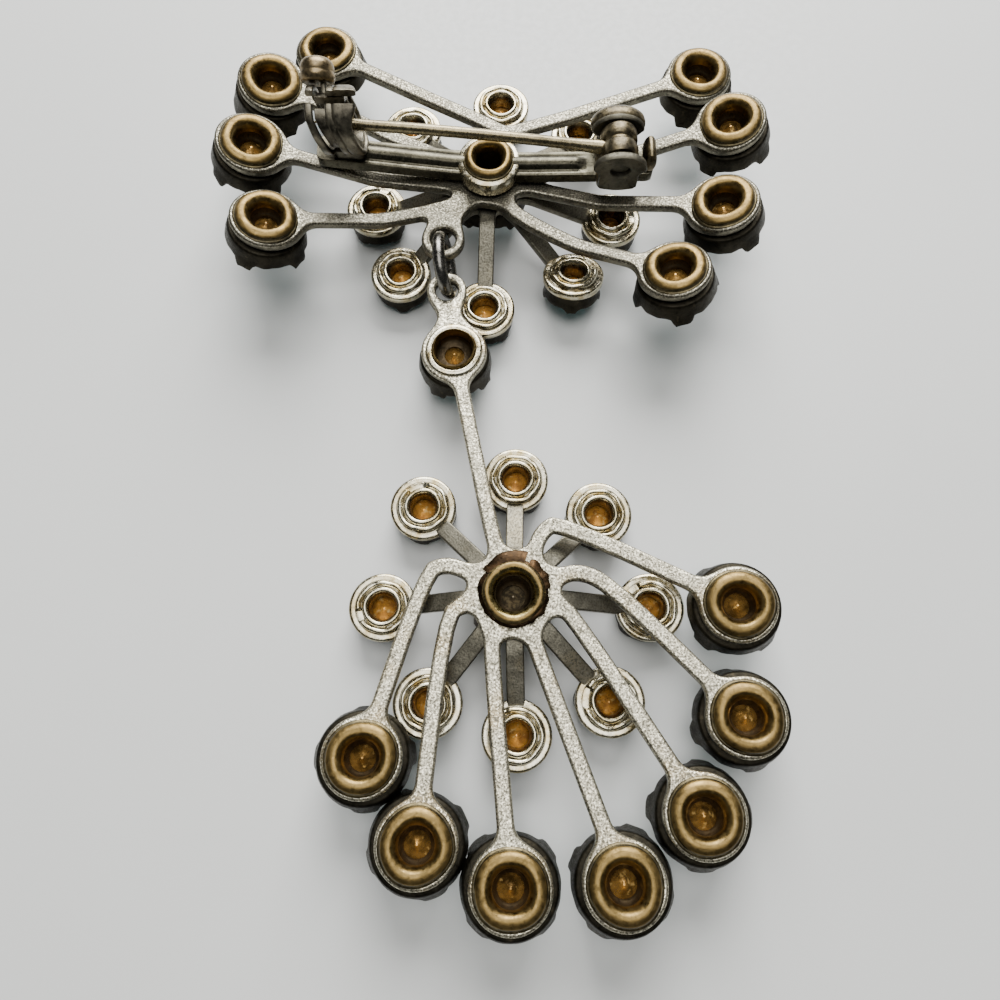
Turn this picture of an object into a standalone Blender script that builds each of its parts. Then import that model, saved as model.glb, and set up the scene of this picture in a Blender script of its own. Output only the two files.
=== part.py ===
"""Drop brooch: two riveted sprays of prong-set stones, a pin bar with a rollover catch, and a jump ring.

It lies on its stones with its back up. Shapes are made in millimetres and turned into metres as they are placed.
"""

import math

import bmesh
import bpy
from mathutils import Matrix, Vector

MM = 0.001
OBJECT_NAME = "drop_brooch"
WELD = 0.0001

# Main sizes: each unit's width over its pads, and how far the drop's hub hangs below the brooch's
BROOCH_WIDTH = 45.0
DROP_WIDTH = 46.0
STAR_WIDTH = 25.2
DROP_LENGTH = 35.4
DROP_SIDE_OFFSET = 2.0

# Plates and seats
SPRAY_PLATE = 0.8
STAR_PLATE = 0.7
SEAT_GAP = 0.2
PLATE_GAP = 0.25
ARM_WIDTH = 1.2
PAD_R = 3.0
PAD_HOLE_CLEARANCE = 0.3
PAD_SIDES = 14
HOLE_SIDES = 10
HUB_R = 3.1

# The two units
HUB_OFFSET = (DROP_SIDE_OFFSET, -DROP_LENGTH)
STACK_SHIFT = (0.05, 0.85)
BROOCH_REACH = BROOCH_WIDTH / 2 - PAD_R
BROOCH_BEND_START = BROOCH_REACH / 2
BROOCH_END_RISE = 2.75
BROOCH_STAR_DROOP = 2.0
DROP_REACH = DROP_WIDTH / 2 - PAD_R
DROP_BEND_START = 6.0
DROP_END_RISE = 1.4
DROP_STAR_DROOP = 1.1
STAR_HUB_R = 2.7
STAR_ARM_WIDTH = 1.35
STAR_BEND_START = 3.7

# Large cups with their hollow rivets
RIVET_HOLE_R = 1.55
RIVET_WALL = 0.35
RIVET_RIM_R = 2.5
RIVET_RIM_H = 0.7
CUP_R = 3.3
CUP_BASE_R = 3.0
CUP_LIP = 0.3
CUP_DEPTH = 1.3
CUP_FLOOR = 0.3
CUP_SIDES = 12
PRONGS = 4
PRONG_H = 0.3
PRONG_FLARE = 0.1
PRONG_HOOK = 0.35
STONE_R = 2.7
STONE_CROWN = 0.6
STONE_PAVILION = 1.6
GIRDLE = 0.15
TABLE_SHARE = 0.62
TABLE_SIDES = 8
STONE_SIDES = 16
STONE_CLEARANCE = 0.2
STEM_SETTING_SHARE = 0.88
STEM_PAD_R = 2.85

# Centre cups, whose tall rivets clamp the whole stack
BROOCH_CENTRE_HOLE_R = 1.15
BROOCH_CENTRE_RIM_R = 2.45
DROP_CENTRE_HOLE_R = 1.4
DROP_CENTRE_RIM_R = 2.1
FLANGE_R = 2.85
FLANGE_T = 0.3
FLANGE_NOTCH = 0.5

# Small cups of the stars
SMALL_HOLE_R = 1.0
SMALL_RIM_R = 1.9
SMALL_RIM_H = 0.5
SMALL_PAD_R = 2.6
SMALL_CUP_R = 2.5
SMALL_CUP_DEPTH = 1.2
SMALL_LIP = 0.3
SMALL_FLOOR = 0.4
SMALL_PRONG_H = 0.2
SMALL_STONE_R = 2.05
SMALL_CROWN = 0.48
SMALL_PAVILION = 1.1
SMALL_STONE_SIDES = 8
STAR_REACH = STAR_WIDTH / 2 - SMALL_PAD_R

# Loops and the jump ring
BROOCH_LOOP_R = 1.8
BROOCH_LOOP_HOLE_R = 1.05
DROP_LOOP_R = 1.6
DROP_LOOP_HOLE_R = 0.95
LOOP_ARM_WIDTH = 1.5
DROP_LOOP_NECK = 2.1
RING_WIRE_R = 0.42
RING_HALF_HEIGHT = 1.9
RING_OVERSHOOT = 0.2
RING_Z = 5.0
RING_STEPS = 18

# Pin bar and its washer
BAR_SKEW = -0.04
BAR_WIDTH = 2.4
BAR_T = 1.0
BAR_LEFT = -14.2
BAR_RIGHT = 13.7
BAR_FLAT = 2.8
BAR_LEFT_RISE = 1.2
BAR_RIGHT_RISE = 0.7
RIB_WIDTH = 1.0
RIB_H = 0.4
WASHER_R = 2.6
WASHER_T = 0.3

# Hinge and stem
PIVOT_X = 10.7
PIVOT_Y = 0.36
PIVOT_ABOVE_BAR = 2.25
PIVOT_R = 0.45
EAR_WIDTH = 4.3
EAR_HEIGHT = 3.0
EAR_T = 0.7
EAR_HOLE_R = 0.75
EAR_HOLE_DEPTH = 0.35
CAP_WIDTH = 4.5
CAP_HEIGHT = 3.1
CAP_T = 1.0
BARREL_R = 1.45
BARREL_LENGTH = 2.8
HINGE_CLEARANCE = 0.2
CURL_X = 13.3
CURL_HALF_WIDTH = 0.53
CURL_HALF_HEIGHT = 1.05
CURL_ABOVE_BAR = 0.9
STEM_R = 0.37
STEM_BOW = 0.25
STEM_TIP = 2.2

# Rollover catch
CATCH_X = -13.3
CATCH_Y = 1.35
CATCH_ABOVE_BAR = 4.1
CASE_R = 2.65
CASE_WALL = 0.5
LEFT_FLANGE = 0.75
CASE_GROOVE = 0.95
RIGHT_FLANGE = 1.9
FOOT_WIDTH = 2.0
SLEEVE_CLEARANCE = 0.2
SLEEVE_WALL = 0.55
SLEEVE_LENGTH = 3.2
MOUTH_WIDTH = 1.2
STEM_OFFSET = -0.1
LEVER_ANGLE = 32.0
LEVER_NECK_R = 0.32
KNOB_R = 1.35
KNOB_LENGTH = 1.6
KNOB_CLEARANCE = 0.2
RING_SIDES = 14

# Name, bearing in degrees, reach as a share of the spray's reach, rise as a share
# of its end rise, and knots between hub and pad as (share of reach, bearing).
BROOCH_ARMS = (
    ("left_1", 136.9, 1.03, 0.1, ((0.12, 74.0), (0.27, 74.0), (0.34, 96.7))),
    ("left_2", 155.8, 1.05, 0.75, ((0.12, 140.0), (0.57, 151.1))),
    ("left_3", 175.3, 1.01, 1.0, ((0.13, -170.8),)),
    ("left_4", -163.2, 0.96, 0.96, ((0.11, -144.0), (0.22, -141.5))),
    ("right_1", 30.1, 1.11, 0.2, ((0.12, 74.0), (0.27, 74.0), (0.35, 58.2))),
    ("right_2", 10.5, 1.06, 0.9, ((0.12, 14.0),)),
    ("right_3", -12.5, 1.0, 1.0, ((0.16, -7.1),)),
    ("right_4", -33.7, 0.92, 0.93, ((0.08, -60.0), (0.28, -50.6))),
)
DROP_ARMS = (
    ("1", -132.6, 0.78, 0.86, ((0.12, 152.0), (0.2, 153.6), (0.28, 156.3), (0.34, 166.5))),
    ("2", -111.2, 0.91, 0.93, ((0.12, -172.0), (0.18, -170.7), (0.27, -161.0))),
    ("3", -90.9, 0.98, 0.93, ((0.12, -125.0), (0.17, -121.5))),
    ("4", -69.7, 1.03, 1.0, ((0.13, -65.5),)),
    ("5", -50.0, 0.99, 1.0, ((0.12, -10.0), (0.16, -11.3), (0.25, -22.3))),
    ("6", -28.6, 0.92, 0.93, ((0.12, 24.0), (0.16, 23.0), (0.28, 18.3), (0.39, 0.8))),
    ("7", -3.2, 0.82, 0.86, ((0.12, 62.0), (0.16, 63.1), (0.26, 65.7), (0.33, 57.8))),
)
STEM_ARM = ("stem", 103.5, 1.02, 0.0, ((0.12, 112.0), (0.24, 109.9)))
BROOCH_LOOP_ARM = (-123.8, 0.35, ((0.1, -144.0), (0.22, -128.8)))
DROP_LOOP_ARM = (102.1, 1.30)

# Bearing in degrees, reach as a share, and lean of the cup in degrees.
BROOCH_STAR_ARMS = (
    (84.3, 1.08, 0.0),
    (42.0, 1.12, 0.0),
    (-7.8, 1.1, 0.0),
    (-45.9, 1.05, 16.0),
    (-92.0, 1.05, 0.0),
    (-137.4, 1.04, 0.0),
    (-177.5, 1.01, 0.0),
    (131.0, 1.08, 0.0),
)
DROP_STAR_ARMS = (
    (88.5, 0.95, 0.0),
    (44.2, 0.95, 0.0),
    (-4.0, 1.05, 0.0),
    (-47.2, 1.05, 0.0),
    (-88.8, 1.01, 0.0),
    (-129.1, 1.01, 0.0),
    (-175.8, 1.0, 0.0),
    (134.7, 1.01, 0.0),
)
# Petals of the drop's rivet flange: bearing, half spread in degrees and reach as a share.
PETALS = (
    (20.0, 20.0, 0.97),
    (75.0, 24.0, 0.9),
    (128.0, 24.0, 0.98),
    (184.0, 26.0, 0.94),
    (238.0, 22.0, 1.0),
    (283.0, 18.0, 0.95),
    (330.0, 20.0, 0.98),
)


def girdle_drop(depth, floor, cup_r, lip, hole_r, stone_r):
    """How far below a cup's back the stone's girdle lies, clear of the sloping seat."""
    slope = (depth - floor) / (cup_r - lip - hole_r)
    return floor + slope * (stone_r - hole_r) + STONE_CLEARANCE


SMALL_DROP = STAR_PLATE + girdle_drop(
    SMALL_CUP_DEPTH, SMALL_FLOOR, SMALL_CUP_R, SMALL_LIP, SMALL_HOLE_R, SMALL_STONE_R
)
STAR_PAD_TOP = SMALL_DROP + GIRDLE + SMALL_CROWN


class Stack:
    """Heights of one unit's layers at its hub, and its centre rivet, which may stand off the arms' centre."""

    def __init__(self, droop, hole_r, rim_r, centre=(0.0, 0.0)):
        self.centre = centre
        self.star_top = STAR_PAD_TOP + droop
        self.star_bottom = self.star_top - STAR_PLATE
        self.spray_bottom = self.star_top + PLATE_GAP
        self.spray_top = self.spray_bottom + SPRAY_PLATE
        self.hole_r = hole_r
        self.rim_r = rim_r
        self.drill_r = hole_r + RIVET_WALL + PAD_HOLE_CLEARANCE


class Reach:
    """How far a spray's arms reach, where they bend up and how far they rise."""

    def __init__(self, reach, bend_start, end_rise):
        self.reach = reach
        self.bend_start = bend_start
        self.end_rise = end_rise

    def slope(self, rise_share):
        return rise_share * self.end_rise / (self.reach - self.bend_start)


BROOCH_STACK = Stack(BROOCH_STAR_DROOP, BROOCH_CENTRE_HOLE_R, BROOCH_CENTRE_RIM_R, STACK_SHIFT)
DROP_STACK = Stack(DROP_STAR_DROOP, DROP_CENTRE_HOLE_R, DROP_CENTRE_RIM_R)
BROOCH_SPRAY = Reach(BROOCH_REACH, BROOCH_BEND_START, BROOCH_END_RISE)
DROP_SPRAY = Reach(DROP_REACH, DROP_BEND_START, DROP_END_RISE)
BAR_BOTTOM = BROOCH_STACK.spray_top + PLATE_GAP
BAR_TOP = BAR_BOTTOM + BAR_T
WASHER_TOP = BAR_TOP + WASHER_T
PIVOT_Z = BAR_TOP + PIVOT_ABOVE_BAR
CATCH_Z = BAR_TOP + CATCH_ABOVE_BAR
CASE_LENGTH = LEFT_FLANGE + CASE_GROOVE + RIGHT_FLANGE
CASE_X = CATCH_X + (RIGHT_FLANGE - LEFT_FLANGE) / 2
CASE_INNER = CASE_R - CASE_WALL
SLEEVE_OUTER = CASE_INNER - SLEEVE_CLEARANCE
SLEEVE_INNER = SLEEVE_OUTER - SLEEVE_WALL


def polar(radius, bearing_deg):
    """A point of the plan at this radius and bearing."""
    a = math.radians(bearing_deg)
    return Vector((radius * math.cos(a), radius * math.sin(a)))


# Mesh helpers
def cleaned(mesh):
    """Welds a mesh and points its faces outward."""
    bm = bmesh.new()
    bm.from_mesh(mesh)
    bmesh.ops.remove_doubles(bm, verts=bm.verts, dist=WELD)
    bmesh.ops.recalc_face_normals(bm, faces=bm.faces)
    bm.to_mesh(mesh)
    bm.free()
    return mesh


def evaluated(obj):
    """Turns an object with its modifiers into a clean mesh and removes the object."""
    bpy.context.view_layer.update()
    graph = bpy.context.evaluated_depsgraph_get()
    mesh = bpy.data.meshes.new_from_object(obj.evaluated_get(graph), depsgraph=graph)
    mesh.transform(obj.matrix_world)
    bpy.data.objects.remove(obj)
    return cleaned(mesh)


def held(data, name="work"):
    """Links mesh or curve data to the scene as a working object."""
    obj = bpy.data.objects.new(name, data)
    bpy.context.scene.collection.objects.link(obj)
    return obj


def moved(mesh, matrix):
    """A moved copy of a mesh."""
    copy = mesh.copy()
    copy.transform(matrix)
    return copy


def shifted(mesh, x, y, z):
    return moved(mesh, Matrix.Translation((x, y, z)))


def tidied(mesh):
    """Merges flat neighbouring faces and needless points."""
    bm = bmesh.new()
    bm.from_mesh(mesh)
    bmesh.ops.remove_doubles(bm, verts=bm.verts, dist=20 * WELD)
    bmesh.ops.dissolve_limit(bm, angle_limit=math.radians(0.5), verts=bm.verts, edges=bm.edges)
    bmesh.ops.triangulate(bm, faces=bm.faces)
    bm.to_mesh(mesh)
    bm.free()
    return mesh


def combined(mesh, others, operation="UNION"):
    """Boolean of a mesh with others, one after another."""
    body = held(mesh)
    tools = [held(other, "tool") for other in others]
    for tool in tools:
        modifier = body.modifiers.new("join", "BOOLEAN")
        modifier.operation = operation
        modifier.solver = "EXACT"
        modifier.object = tool
    result = evaluated(body)
    for tool in tools:
        bpy.data.objects.remove(tool)
    return result


def turned(profile, sides):
    """Turns a closed profile of (radius, height) points, listed down its outer side, about Z."""
    mesh = bpy.data.meshes.new("profile")
    points = [(r, 0.0, z) for r, z in profile]
    edges = [(i, (i + 1) % len(points)) for i in range(len(points))]
    mesh.from_pydata(points, edges, [])
    obj = held(mesh)
    screw = obj.modifiers.new("turn", "SCREW")
    screw.steps = sides
    screw.render_steps = sides
    screw.use_merge_vertices = True
    screw.merge_threshold = WELD
    return evaluated(obj)


def plate(outlines, thickness):
    """A flat plate from closed outlines, the first its edge and the rest its holes. Its top is at height 0."""
    curve = bpy.data.curves.new("outline", "CURVE")
    curve.dimensions = "2D"
    curve.fill_mode = "BOTH"
    curve.extrude = thickness / 2
    curve.render_resolution_u = 0
    for outline in outlines:
        spline = curve.splines.new("POLY")
        spline.points.add(len(outline) - 1)
        for point, place in zip(spline.points, outline):
            point.co = (place[0], place[1], 0.0, 1.0)
        spline.use_cyclic_u = True
    mesh = evaluated(held(curve))
    mesh.transform(Matrix.Translation((0.0, 0.0, -thickness / 2)))
    return mesh


def block(size, centre):
    """A box of this size about this centre."""
    bm = bmesh.new()
    bmesh.ops.create_cube(bm, size=1.0)
    bmesh.ops.scale(bm, vec=size, verts=bm.verts)
    bmesh.ops.translate(bm, vec=centre, verts=bm.verts)
    mesh = bpy.data.meshes.new("block")
    bm.to_mesh(mesh)
    bm.free()
    return mesh


def rod(radius, length, sides, radius_end=None):
    """A cylinder or cone along Z, about the origin."""
    bm = bmesh.new()
    bmesh.ops.create_cone(
        bm,
        cap_ends=True,
        segments=sides,
        radius1=radius,
        radius2=radius if radius_end is None else radius_end,
        depth=length,
    )
    mesh = bpy.data.meshes.new("rod")
    bm.to_mesh(mesh)
    bm.free()
    return mesh


def wire(points, radius, radii=None, cyclic=False, resolution=1):
    """A round wire through points."""
    curve = bpy.data.curves.new("wire", "CURVE")
    curve.dimensions = "3D"
    curve.bevel_depth = radius
    curve.bevel_resolution = resolution
    curve.use_fill_caps = not cyclic
    curve.render_resolution_u = 0
    spline = curve.splines.new("POLY")
    spline.points.add(len(points) - 1)
    for i, place in enumerate(points):
        spline.points[i].co = (*place, 1.0)
        spline.points[i].radius = 1.0 if radii is None else radii[i]
    spline.use_cyclic_u = cyclic
    return evaluated(held(curve))


def lofted(sections):
    """A closed solid through matching cross-sections."""
    bm = bmesh.new()
    rows = [[bm.verts.new(place) for place in section] for section in sections]
    count = len(rows[0])
    for before, after in zip(rows, rows[1:]):
        for i in range(count):
            j = (i + 1) % count
            bm.faces.new((before[i], before[j], after[j], after[i]))
    bm.faces.new(rows[0])
    bm.faces.new(rows[-1][::-1])
    bmesh.ops.recalc_face_normals(bm, faces=bm.faces)
    mesh = bpy.data.meshes.new("loft")
    bm.to_mesh(mesh)
    bm.free()
    return mesh


def ring_points(centre, radius, sides, start=0.0, sweep=360.0):
    """Points on a circle or arc of the plan."""
    closed = sweep >= 360.0
    count = sides if closed else sides + 1
    return [Vector(centre) + polar(radius, start + sweep * i / sides) for i in range(count)]


# Plates
def stroke(knots, width, end_centre, end_radius, sides):
    """Outline of an arm along its knots that opens into a round pad."""
    path = [Vector(k) for k in knots] + [Vector(end_centre)]
    left, right = [], []
    for i, here in enumerate(path[:-1]):
        into = (here - path[i - 1]).normalized() if i else (path[1] - here).normalized()
        out = (path[i + 1] - here).normalized()
        way = (into + out).normalized()
        side = Vector((-way.y, way.x)) * (width / 2 / max(0.5, way.dot(out)))
        left.append(here + side)
        right.append(here - side)
    way = (path[-1] - path[-2]).normalized()
    side = Vector((-way.y, way.x)) * width / 2
    neck = path[-1] - way * (end_radius * 1.25)
    left.append(neck + side)
    right.append(neck - side)
    heading = math.degrees(math.atan2(way.y, way.x))
    opening = 34.0
    pad = ring_points(
        end_centre, end_radius, sides, heading + 180.0 + opening, 360.0 - 2 * opening
    )
    return right + pad + left[::-1]


def bent(mesh, bearing_deg, start, slope):
    """Bends a plate up by this slope beyond a line across its bearing."""
    way = polar(1.0, bearing_deg)
    for vertex in mesh.vertices:
        along = vertex.co.x * way.x + vertex.co.y * way.y
        vertex.co.z += slope * max(0.0, along - start)
    return mesh


def with_bend(path, bearing_deg, start):
    """The path with a knot added where it crosses the bend line."""
    way = polar(1.0, bearing_deg)
    for i in range(len(path) - 1):
        before, after = path[i].dot(way), path[i + 1].dot(way)
        if before < start < after:
            knot = path[i].lerp(path[i + 1], (start - before) / (after - before))
            return path[: i + 1] + [knot] + path[i + 1 :]
    return path


def arm_plate(arm, spray, pad_r, hole_r):
    """One spray arm with its pad, drilled for the rivet and bent up."""
    _, bearing, share, rise, knots = arm
    centre = polar(share * spray.reach, bearing)
    path = [polar(s * spray.reach, b) for s, b in knots] + [centre]
    path = with_bend(path, bearing, spray.bend_start)
    edge = stroke(path[:-1], ARM_WIDTH, centre, pad_r, PAD_SIDES - 3)
    hole = ring_points(centre, hole_r, HOLE_SIDES, bearing)
    return bent(plate([edge, hole], SPRAY_PLATE), bearing, spray.bend_start, spray.slope(rise))


def loop_plate(knots, centre, loop_r, hole_r, width, thickness):
    """A short arm that ends in a drilled loop."""
    edge = stroke(knots, width, centre, loop_r, 10)
    hole = ring_points(centre, hole_r, HOLE_SIDES)
    return plate([edge, hole], thickness)


def spray_mesh(arms, spray, stack, extras):
    """A spray plate: hub, arms and further pieces joined in one."""
    hole_r = RIVET_HOLE_R + RIVET_WALL + PAD_HOLE_CLEARANCE
    hub = plate([ring_points(stack.centre, HUB_R, 20)], SPRAY_PLATE)
    pieces = [arm_plate(arm, spray, PAD_R, hole_r) for arm in arms] + extras
    drill = shifted(rod(stack.drill_r, 4 * SPRAY_PLATE, 12), *stack.centre, 0)
    return tidied(combined(combined(hub, pieces), [drill], "DIFFERENCE"))


def brooch_spray_mesh():
    bearing, share, knots = BROOCH_LOOP_ARM
    centre = polar(share * BROOCH_REACH, bearing)
    path = [polar(s * BROOCH_REACH, b) for s, b in knots]
    loop = loop_plate(path, centre, BROOCH_LOOP_R, BROOCH_LOOP_HOLE_R, LOOP_ARM_WIDTH, SPRAY_PLATE)
    return spray_mesh(BROOCH_ARMS, BROOCH_SPRAY, BROOCH_STACK, [loop])


def drop_spray_mesh():
    bearing, share = DROP_LOOP_ARM
    pad = polar(STEM_ARM[2] * DROP_REACH, STEM_ARM[1])
    centre = polar(share * DROP_REACH, bearing)
    start = pad.lerp(centre, 0.5)
    loop = loop_plate([start], centre, DROP_LOOP_R, DROP_LOOP_HOLE_R, DROP_LOOP_NECK, SPRAY_PLATE)
    tube_r = (RIVET_HOLE_R + RIVET_WALL) * STEM_SETTING_SHARE
    stem = arm_plate(STEM_ARM, DROP_SPRAY, STEM_PAD_R, tube_r + PAD_HOLE_CLEARANCE)
    return spray_mesh(DROP_ARMS, DROP_SPRAY, DROP_STACK, [stem, loop])


def small_profile():
    """Rolled rim, pad and prong cup of a star setting. Height 0 is the pad's top."""
    lip = STAR_PLATE + SMALL_CUP_DEPTH
    return [
        (SMALL_HOLE_R, SMALL_RIM_H * 0.35),
        ((SMALL_HOLE_R + SMALL_RIM_R) / 2, SMALL_RIM_H),
        (SMALL_RIM_R, 0.0),
        (SMALL_PAD_R, 0.0),
        (SMALL_CUP_R, -lip),
        (SMALL_CUP_R - SMALL_LIP, -lip),
        (SMALL_HOLE_R, -STAR_PLATE - SMALL_FLOOR),
    ]


def pronged(mesh, lip_height, radius, sides, steps):
    """Raises prongs from a cup's lip in (outward, forward) steps that fold over the stone."""
    bm = bmesh.new()
    bm.from_mesh(mesh)
    step = sides // PRONGS
    half = 180.0 / sides
    for i in range(PRONGS):
        way = polar(1.0, 360.0 / sides * (step * i + 1) + half).to_3d()
        lips = [
            f
            for f in bm.faces
            if abs(f.calc_center_median().z + lip_height) < WELD
            and f.calc_center_median().length > radius * 0.5
        ]
        face = max(lips, key=lambda f: f.calc_center_median().normalized().dot(way))
        for out, down in steps:
            made = bmesh.ops.extrude_discrete_faces(bm, faces=[face])["faces"]
            face = made[0]
            bmesh.ops.translate(bm, vec=way * out + Vector((0, 0, -down)), verts=face.verts)
    bm.to_mesh(mesh)
    bm.free()
    return cleaned(mesh)


def small_cup():
    mesh = turned(small_profile(), CUP_SIDES)
    lip = STAR_PLATE + SMALL_CUP_DEPTH
    return pronged(mesh, lip, SMALL_CUP_R, CUP_SIDES, ((-SMALL_PRONG_H / 2, 1.5 * SMALL_PRONG_H),))


def star_place(arm):
    """Where a star setting stands, from its pad's top centre. A leaning cup is lifted clear of the surface."""
    bearing, share, lean = arm
    spot = polar(share * STAR_REACH, bearing)
    tilt = Matrix.Rotation(-math.radians(lean), 4, "X")
    turn = Matrix.Rotation(math.radians(bearing), 4, "Z")
    lift = SMALL_CUP_R * math.sin(math.radians(lean))
    return Matrix.Translation((spot.x, spot.y, STAR_PAD_TOP + lift)) @ tilt @ turn


def strip_section(x, half, top):
    """One cross-section of a star's arm."""
    return [(x, half, top), (x, -half, top), (x, -half, top - STAR_PLATE), (x, half, top - STAR_PLATE)]


def star_mesh(arms, stack, droop):
    """A star plate with its arms bent down to the small cups, all in one."""
    top = stack.star_top
    hub = shifted(plate([ring_points(stack.centre, STAR_HUB_R, 18)], STAR_PLATE), 0, 0, top)
    half = STAR_ARM_WIDTH / 2
    start = half * 0.5
    pieces = []
    for arm in arms:
        bearing, share, lean = arm
        end = share * STAR_REACH - (SMALL_RIM_R + SMALL_HOLE_R) / 2
        lift = SMALL_CUP_R * math.sin(math.radians(lean)) - SMALL_PAD_R * math.sin(math.radians(lean))
        low = lift - droop - STAR_PLATE * 0.1
        strip = lofted([strip_section(x, half, z) for x, z in ((start, 0.0), (STAR_BEND_START, 0.0), (end, low))])
        turn = Matrix.Rotation(math.radians(bearing), 4, "Z")
        pieces.append(moved(strip, Matrix.Translation((0, 0, top)) @ turn))
    for arm in arms:
        pieces.append(moved(small_cup(), star_place(arm)))
    drill = shifted(rod(stack.drill_r, 4 * STAR_PLATE, 12), *stack.centre, top)
    return tidied(combined(combined(hub, pieces), [drill], "DIFFERENCE"))


# Settings and stones
def setting_mesh(grip, hole_r, rim_r):
    """A prong cup and its rivet, rolled over a stack of this thickness. Height 0 is the stack's top."""
    tube_r = hole_r + RIVET_WALL
    base = -grip - SEAT_GAP
    lip = -base + CUP_DEPTH
    profile = [
        (hole_r, SEAT_GAP + RIVET_RIM_H * 0.4),
        ((hole_r + rim_r) / 2, SEAT_GAP + RIVET_RIM_H),
        (rim_r, SEAT_GAP + RIVET_RIM_H * 0.3),
        (tube_r, SEAT_GAP),
        (tube_r, base),
        (CUP_BASE_R, base),
        (CUP_R, -lip),
        (CUP_R - CUP_LIP, -lip),
        (hole_r, base - CUP_FLOOR),
    ]
    steps = ((PRONG_FLARE, PRONG_H), (-PRONG_HOOK, PRONG_HOOK))
    return pronged(turned(profile, CUP_SIDES), lip, CUP_R, CUP_SIDES, steps)


def stone_mesh(radius, crown, pavilion, facets):
    """A round cut stone with an eight-sided table. Height 0 is the girdle's back edge, and its back points up."""
    bm = bmesh.new()
    for i in range(facets):
        spot = polar(radius, 360.0 / facets * i)
        bm.verts.new((spot.x, spot.y, 0.0))
        bm.verts.new((spot.x, spot.y, -GIRDLE))
    for i in range(TABLE_SIDES):
        spot = polar(radius * TABLE_SHARE, 360.0 / TABLE_SIDES * (i + 0.5))
        bm.verts.new((spot.x, spot.y, -GIRDLE - crown))
    bm.verts.new((0.0, 0.0, pavilion))
    bmesh.ops.convex_hull(bm, input=bm.verts)
    mesh = bpy.data.meshes.new("stone")
    bm.to_mesh(mesh)
    bm.free()
    return cleaned(mesh)


def petal_flange():
    """The ragged flange under the drop's rivet rim."""
    outline = []
    for bearing, spread, share in PETALS:
        inner = FLANGE_R - FLANGE_NOTCH
        outline.append(polar(inner, bearing - spread - 4.0))
        outline.append(polar(FLANGE_R * share, bearing - spread))
        outline.append(polar(FLANGE_R * share * 1.01, bearing))
        outline.append(polar(FLANGE_R * share, bearing + spread))
    hole = ring_points((0, 0), DROP_CENTRE_HOLE_R + RIVET_WALL * 0.5, 12)
    return shifted(plate([outline, hole], FLANGE_T), 0, 0, SEAT_GAP + FLANGE_T)


# Findings
def along_x(mesh, x, y, z):
    """Lays a turned piece along X at this place."""
    return moved(mesh, Matrix.Translation((x, y, z)) @ Matrix.Rotation(math.pi / 2, 4, "Y"))


def along_y(mesh, x, y, z):
    """Lays a turned piece along Y at this place."""
    return moved(mesh, Matrix.Translation((x, y, z)) @ Matrix.Rotation(-math.pi / 2, 4, "X"))


def tube(inner, outer, length, sides):
    half = length / 2
    return turned([(inner, half), (outer, half), (outer, -half), (inner, -half)], sides)


def mouth(depth):
    """The slot that the stem passes through, upward from the catch's centre."""
    return block(
        (2 * CASE_LENGTH, MOUTH_WIDTH, depth),
        (CASE_X, CATCH_Y + STEM_OFFSET, CATCH_Z + depth / 2),
    )


def bar_y(x):
    """The bar's middle at this place along it. It lies a little askew through its rivet."""
    return STACK_SHIFT[1] + BAR_SKEW * (x - STACK_SHIFT[0])


def bar_rise(x):
    """How far the bowed bar stands above its middle at this place along it."""
    if x < 0:
        return BAR_LEFT_RISE * max(0.0, -x - BAR_FLAT) / (-BAR_LEFT - BAR_FLAT)
    return BAR_RIGHT_RISE * max(0.0, x - BAR_FLAT) / (BAR_RIGHT - BAR_FLAT)


def bar_section(x, width, rib):
    """One cross-section of the bar."""
    low = BAR_BOTTOM + bar_rise(x)
    high = low + BAR_T
    w = width / 2
    r = RIB_WIDTH / 2
    places = [(w, low), (w, high), (r, high), (r * 0.6, high + rib)]
    places += [(-r * 0.6, high + rib), (-r, high), (-w, high), (-w, low)]
    return [(x, bar_y(x) + y, z) for y, z in places]


def strip_mesh():
    """The bowed strip of the pin bar with its rib."""
    rib_end = PIVOT_X - BARREL_R - 1.0
    flat = RIB_H * 0.02
    rows = [
        (BAR_LEFT, BAR_WIDTH * 0.8, flat),
        (BAR_LEFT + 0.4, BAR_WIDTH, flat),
        (CASE_X + CASE_LENGTH / 2, BAR_WIDTH, RIB_H),
        (-BAR_FLAT, BAR_WIDTH, RIB_H),
        (BAR_FLAT, BAR_WIDTH, RIB_H),
        (rib_end, BAR_WIDTH, RIB_H),
        (rib_end + 0.6, BAR_WIDTH, flat),
        (BAR_RIGHT - 0.4, BAR_WIDTH, flat),
        (BAR_RIGHT, BAR_WIDTH * 0.8, flat),
    ]
    return lofted([bar_section(*row) for row in rows])


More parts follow.
